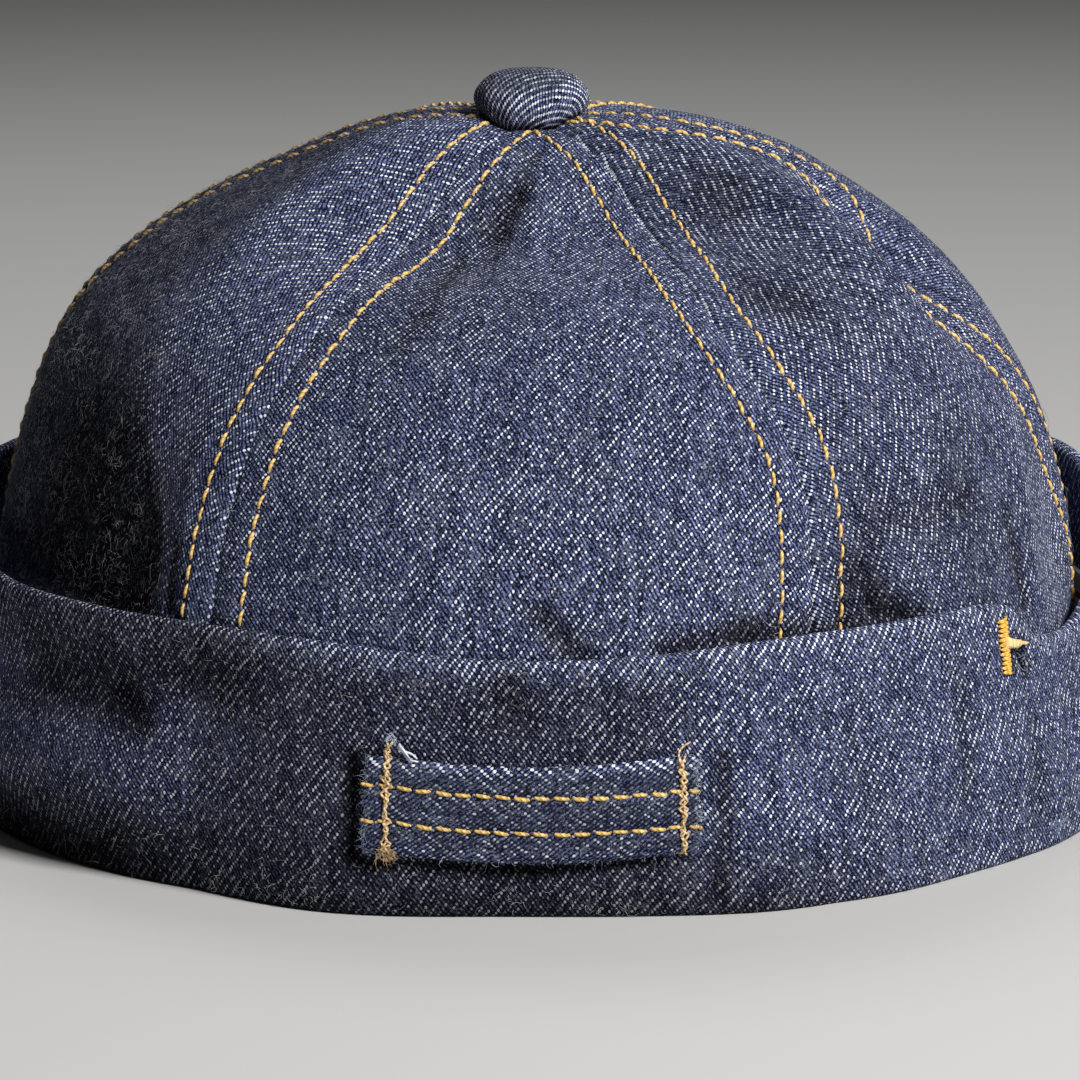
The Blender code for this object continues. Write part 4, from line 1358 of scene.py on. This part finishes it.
def zigzag(top, bottom, half_width, step, uneven, seed, phase=0):
    """Return the corners of a zigzag seam between two places, each a side and a level."""
    count = int(math.dist(top, bottom) / step)
    number = np.arange(count + 1)
    share = np.linspace(0.0, 1.0, count + 1)[:, None]
    sign = np.where((number + phase) % 2 == 0, 1.0, -1.0)
    swing = sign * half_width * (1.0 + uneven * lattice_value(number, 0, 0, seed))
    slip = 0.5 * uneven * step * lattice_value(number, 1, 0, seed)
    top, bottom = np.array(top), np.array(bottom)
    return top + (bottom - top) * share + np.stack([swing, slip], axis=-1)


def dense_run(corners, steps, lift_middle, lift_end):
    """Return places between corners with a hump over each straight stretch."""
    share = np.linspace(0.0, 1.0, steps, endpoint=False)
    places = corners[:-1, None] + (corners[1:] - corners[:-1])[:, None] * share[None, :, None]
    lift = lift_end + (lift_middle - lift_end) * np.sin(math.pi * share)
    lift = np.broadcast_to(lift, places.shape[:2])
    return places.reshape(-1, 2), lift.ravel()


def run_tube(points, radius, taper=0.0):
    """Return one tube along a run of points, as a set of tubes."""
    points = np.asarray(points, float)[None]
    share = np.linspace(0.0, 1.0, points.shape[1])
    radii = radius * (1.0 - taper * share)
    return points, surface_normals(points), radii[None, :]


def make_strip_tacks(material):
    """The zigzag bars at both ends of the strip."""
    reach = 0.48 * STRIP_WIDTH
    for name, at, top, low in STRIP_TACKS:
        sets = []
        for phase in range(3):
            corners = zigzag((at, top), (at + 0.2 * MM, low), 0.46 * MM, 1.05 * MM, 0.75, 71 + phase, phase)
            places, lift = dense_run(corners, 6, 0.26 * MM, 0.08 * MM)
            along, level = places.T
            inside = smooth_step(0.53, 0.47, np.abs(level) / STRIP_WIDTH)
            base = strip_lift(along, np.clip(level, -reach, reach)) * inside
            points = strip_place(along, level, base + lift + 0.08 * MM * phase)
            sets.append(run_tube(points, STRIP_TACK_RADIUS))
        count = min(part[0].shape[1] for part in sets)
        sets = [tuple(values[:, :count] for values in part) for part in sets]
        thread_piece(name, join_tubes(sets), material)


def cuff_place(azimuth, height, lift):
    """Return points over the cuff's outer face."""
    radius = cuff_outer_radius(azimuth, height / wall_height(azimuth)) + cuff_relief(azimuth, height)
    return place(azimuth, radius + lift, height)


def make_cuff_tack(material, pale):
    """The zigzag bar at the right of the cuff, and the thread tail pulled out of it."""
    radius = float(cuff_outer_radius(TACK_AZIMUTH, 0.9))
    corners = zigzag((0.0, TACK_TOP), (TACK_LEAN, TACK_LOW), TACK_HALF_WIDTH, TACK_STEP, 0.16, 81)
    places, lift = dense_run(corners, 6, 0.55 * MM, 0.05 * MM)
    azimuth = TACK_AZIMUTH + np.degrees(places[:, 0] / radius)
    thread_piece("cuff_tack", run_tube(cuff_place(azimuth, places[:, 1], lift), TACK_RADIUS), material)
    sets = []
    share = np.linspace(0.0, 1.0, 16)
    for strand in range(TAIL_STRANDS):
        spread = (strand - 4) / 4.0
        side = TACK_TAIL_LENGTH * share * (1.0 - 0.10 * abs(spread))
        level = TACK_TAIL_LEVEL - 1.2 * MM * share + spread * 0.80 * MM * (1.0 - share) ** 0.8
        level = level + 0.10 * MM * np.sin(9.0 * share + strand)
        rise = (0.95 + 0.45 * (1 - spread ** 2)) * MM * np.sin(math.pi * (0.15 + 0.70 * share))
        azimuth = TACK_AZIMUTH + np.degrees(side / radius)
        sets.append(run_tube(cuff_place(azimuth, level, rise), TAIL_RADIUS, 0.45))
    thread_piece("cuff_tack_tail", join_tubes(sets), pale, sides=6)


def make_loose_ends(material):
    """The loose thread at the top of the strip's right tack, and the fuzzy knot under its left one."""
    share = np.linspace(0.0, 1.0, 14)
    along = STRIP_TACK_RIGHT + MM * (-0.9 * np.sin(2.6 * share) + 2.2 * share ** 2)
    level = MM * (6.4 + 3.4 * share)
    lift = STRIP_THICKNESS * smooth_step(9.0 * MM, 7.0 * MM, level) + 0.45 * MM
    thread_piece("tack_thread_end", run_tube(strip_place(along, level, lift), 0.20 * MM, 0.3), material)
    along = STRIP_TACK_LEFT + 0.3 * MM + draw.normal(0.0, 0.55, KNOT_FIBRES) * MM
    level = -7.1 * MM + draw.normal(0.0, 0.50, KNOT_FIBRES) * MM
    points = strip_place(along, level, 1.4 * MM)
    tubes = curled_fibres(points, surface_normals(points), *KNOT_FIBRE)
    thread_piece("tack_knot", tubes, material, sides=4)


def make_corner_curl(material):
    """The white frayed bit of weft at the strip's upper left corner."""
    sets = []
    share = np.linspace(0.0, 1.0, 10)
    for strand, (side, size) in enumerate(((-0.35, 0.8), (0.0, 1.0), (0.35, 0.9), (0.1, 0.7))):
        along = MM * (-20.2 + 3.0 * size * share + 0.5 * side)
        level = MM * (9.6 - 2.3 * size * share + side + 0.35 * np.sin(5.0 * share + 2.0 * strand))
        lift = MM * (0.6 + 0.7 * np.sin(3.0 * share) + 0.2 * strand)
        sets.append(run_tube(strip_place(along, level, lift), 0.22 * MM, 0.35))
    thread_piece("corner_curl", join_tubes(sets), material, "strip_denim")


# Fibres

def curled_fibres(points, normals, length, thickness, stand, curl, rings=FIBRE_RINGS):
    """Return tubes for short curled fibres that start on a surface."""
    count = len(points)
    across = unit(np.cross(normals, draw.normal(size=(count, 3))))
    second = np.cross(normals, across)
    size = length * draw.lognormal(0.0, 0.45, (count, 1))
    share = np.linspace(0.0, 1.0, rings)[None, :]
    bend = draw.normal(0.0, curl, (count, 1))
    twist = draw.normal(0.0, 0.8 * curl, (count, 1))
    angle = bend * share + twist * share ** 2
    forward = size * np.sin(angle + 1e-6) / (angle + 1e-6) * share
    sideways = size * (1.0 - np.cos(angle)) / (np.abs(angle) + 0.3) * share
    rise = size * stand * np.abs(draw.normal(0.6, 0.5, (count, 1))) * np.sin(2.2 * share)
    centres = points[:, None] + normals[:, None] * (rise[..., None] - 0.03 * MM)
    centres = centres + across[:, None] * forward[..., None] + second[:, None] * sideways[..., None]
    upward = np.broadcast_to(normals[:, None], centres.shape) + 0.2 * across[:, None]
    radii = thickness * draw.uniform(0.7, 1.3, (count, 1)) * (1.0 - 0.6 * share)
    return centres, upward, radii


def make_crown_fibres(material):
    """Loose fibres over the crown."""
    tries = 4 * CROWN_FIBRES
    azimuth = draw.uniform(-180.0, 180.0, tries)
    station = np.sqrt(draw.uniform(0.015, 1.0, tries))
    patch = soft_noise(place(azimuth, CROWN_RADIUS, station * 0.1), 9 * MM, 91)
    chance = (0.45 + 0.30 * np.exp(-(azimuth / 80.0) ** 2)) * (0.65 + 0.5 * patch)
    kept = np.flatnonzero(draw.uniform(0.0, 1.0, tries) < chance)[:CROWN_FIBRES]
    points, normals, _, _ = crown_surface(azimuth[kept], station[kept])
    tubes = curled_fibres(points, normals, *CROWN_FIBRE)
    thread_piece("crown_fibres", tubes, material, "crown_denim", sides=3)


def make_nap_fibres(material):
    """The short, nearly straight fibres of the nap on the crown's left side, darker for painted shade."""
    tries = 3 * NAP_FIBRES
    azimuth = draw.uniform(-112.0, -36.0, tries)
    station = np.sqrt(draw.uniform(0.02, 1.05, tries))
    kept = np.flatnonzero(draw.uniform(0.0, 1.0, tries) < crown_nap(azimuth, station))[:NAP_FIBRES]
    points, normals, _, _ = crown_surface(azimuth[kept], station[kept])
    tubes = curled_fibres(points, normals, *NAP_FIBRE, NAP_RINGS)
    thread_piece("nap_fibres", tubes, material, "crown_denim", sides=3)


def make_cuff_fibres(material):
    """Loose fibres over the cuff, along its rim and its lower edge."""
    azimuth = draw.uniform(-180.0, 180.0, CUFF_FIBRES)
    share, edge = draw.uniform(0.0, 1.0, (2, CUFF_FIBRES))
    share = np.where(edge < 0.16, draw.uniform(0.90, 1.0, CUFF_FIBRES), share)
    share = np.where(edge > 0.80, draw.uniform(0.02, 0.20, CUFF_FIBRES), share)
    points = cuff_place(azimuth, np.maximum(share * wall_height(azimuth), 1.2 * MM), 0.0)
    tubes = curled_fibres(points, surface_normals(points), *CUFF_FIBRE)
    tubes[0][..., 2] = np.maximum(tubes[0][..., 2], 0.1 * MM)
    thread_piece("cuff_fibres", tubes, material, "cuff_denim", sides=3)


def make_tufts(material):
    """Small frayed places: raw corners and rubbed spots of the cuff."""
    sets = []
    for _, azimuth, share, azimuth_reach, reach, count, length in TUFTS:
        turn = azimuth + azimuth_reach * draw.uniform(-1.0, 1.0, count)
        height = share * wall_height(turn) + reach * draw.uniform(-1.0, 1.0, count) * MM
        lift = 1.9 * MM * (np.abs(turn) < 14.0)
        points = cuff_place(turn, height, lift)
        sets.append(curled_fibres(points, surface_normals(points), length * MM, *TUFT_FIBRE))
    thread_piece("frayed_spots", join_tubes(sets), material, "cuff_denim", sides=4)


def make_strip_fray(material):
    """Raw ends and edges of the strip, fraying into short fibres."""
    end = np.where(draw.uniform(size=FRAY_FIBRES) < 0.5, -1.0, 1.0)
    level = draw.uniform(-0.5, 0.5, FRAY_FIBRES) * STRIP_WIDTH
    along = end * 0.5 * STRIP_LENGTH * draw.uniform(0.975, 1.0, FRAY_FIBRES)
    loose = draw.uniform(size=FRAY_FIBRES) < 0.35
    along = np.where(loose, draw.uniform(-0.5, 0.5, FRAY_FIBRES) * STRIP_LENGTH, along)
    edge = np.sign(level) * STRIP_WIDTH * draw.uniform(0.44, 0.5, FRAY_FIBRES)
    level = np.where(loose, edge, level)
    points = strip_place(along, level, strip_lift(along, level))
    tubes = curled_fibres(points, surface_normals(points), *FRAY_FIBRE)
    thread_piece("strip_fray", tubes, material, "strip_denim", sides=3)


# Stage

def make_camera():
    """The camera at the photograph's angle, level with a table seen from a little above."""
    data = bpy.data.cameras.new("camera")
    data.lens = CAMERA_LENS
    data.sensor_width = 36.0
    data.clip_start, data.clip_end = 0.05, 20.0
    camera = add_object("camera", data)
    camera.location = CAMERA_PLACE
    camera.rotation_euler = (math.radians(90.0 - CAMERA_ELEVATION), 0.0, 0.0)
    bpy.context.scene.camera = camera


def make_stage():
    """A plain pale floor, flat and far wider than the cap."""
    turns = np.radians(np.arange(0, 360, 360 // FLOOR_SIDES))
    vertices = [(FLOOR_RADIUS * math.cos(a), FLOOR_RADIUS * math.sin(a), 0.0) for a in turns]
    mesh = bpy.data.meshes.new("floor")
    mesh.from_pydata(vertices, [], [tuple(range(FLOOR_SIDES))])
    material, _, shader = new_material("floor_paper", 0.9)
    shader.inputs["Base Color"].default_value = FLOOR_COLOUR
    mesh.materials.append(material)
    add_object("floor", mesh)


def make_lights():
    """Soft studio lights, the key from the upper right front."""
    for name, at, width, height, watts, colour in LIGHTS:
        data = bpy.data.lights.new(name, "AREA")
        data.shape = "RECTANGLE"
        data.size, data.size_y = width, height
        data.energy = watts
        data.color = colour
        light = add_object(name, data)
        light.location = at
        light.rotation_euler = (LIGHT_AIM - Vector(at)).to_track_quat("-Z", "Y").to_euler()
    world = bpy.data.worlds.new("studio")
    world.use_nodes = True
    world.node_tree.nodes["Background"].inputs["Color"].default_value = SKY_COLOUR
    world.node_tree.nodes["Background"].inputs["Strength"].default_value = SKY_STRENGTH
    bpy.context.scene.world = world


def main():
    """Dress every solid, then add the stage, the lights and the camera."""
    denim = make_denim("denim_face")
    reverse = make_denim("denim_back", reverse=True)
    for index in range(len(SEAMS)):
        make_panel_cloth(index, [denim, reverse])
    make_cuff_cloth([denim])
    make_button_cloth([denim])
    make_strip_cloth([denim, reverse])
    make_selvedge_band([make_selvedge_cloth()])
    threads = {name: make_thread(name) for name in THREAD_COLOURS}
    fibres = {name: make_fibre(name) for name in FIBRE_COLOURS}
    make_crown_stitching(threads["golden_thread"], threads["shaded_thread"])
    make_strip_stitching(threads["golden_thread"])
    make_strip_tacks(threads["straw_thread"])
    make_cuff_tack(threads["yellow_thread"], threads["yellow_straw_thread"])
    make_loose_ends(threads["straw_thread"])
    make_corner_curl(fibres["white_weft"])
    make_crown_fibres(fibres["cotton_fluff"])
    make_nap_fibres(fibres["shaded_nap_fluff"])
    make_cuff_fibres(fibres["cotton_fluff"])
    make_strip_fray(fibres["pale_fray"])
    make_tufts(fibres["pale_fray"])
    make_stage()
    make_lights()
    make_camera()
    bpy.context.scene.view_settings.view_transform = "Standard"


main()
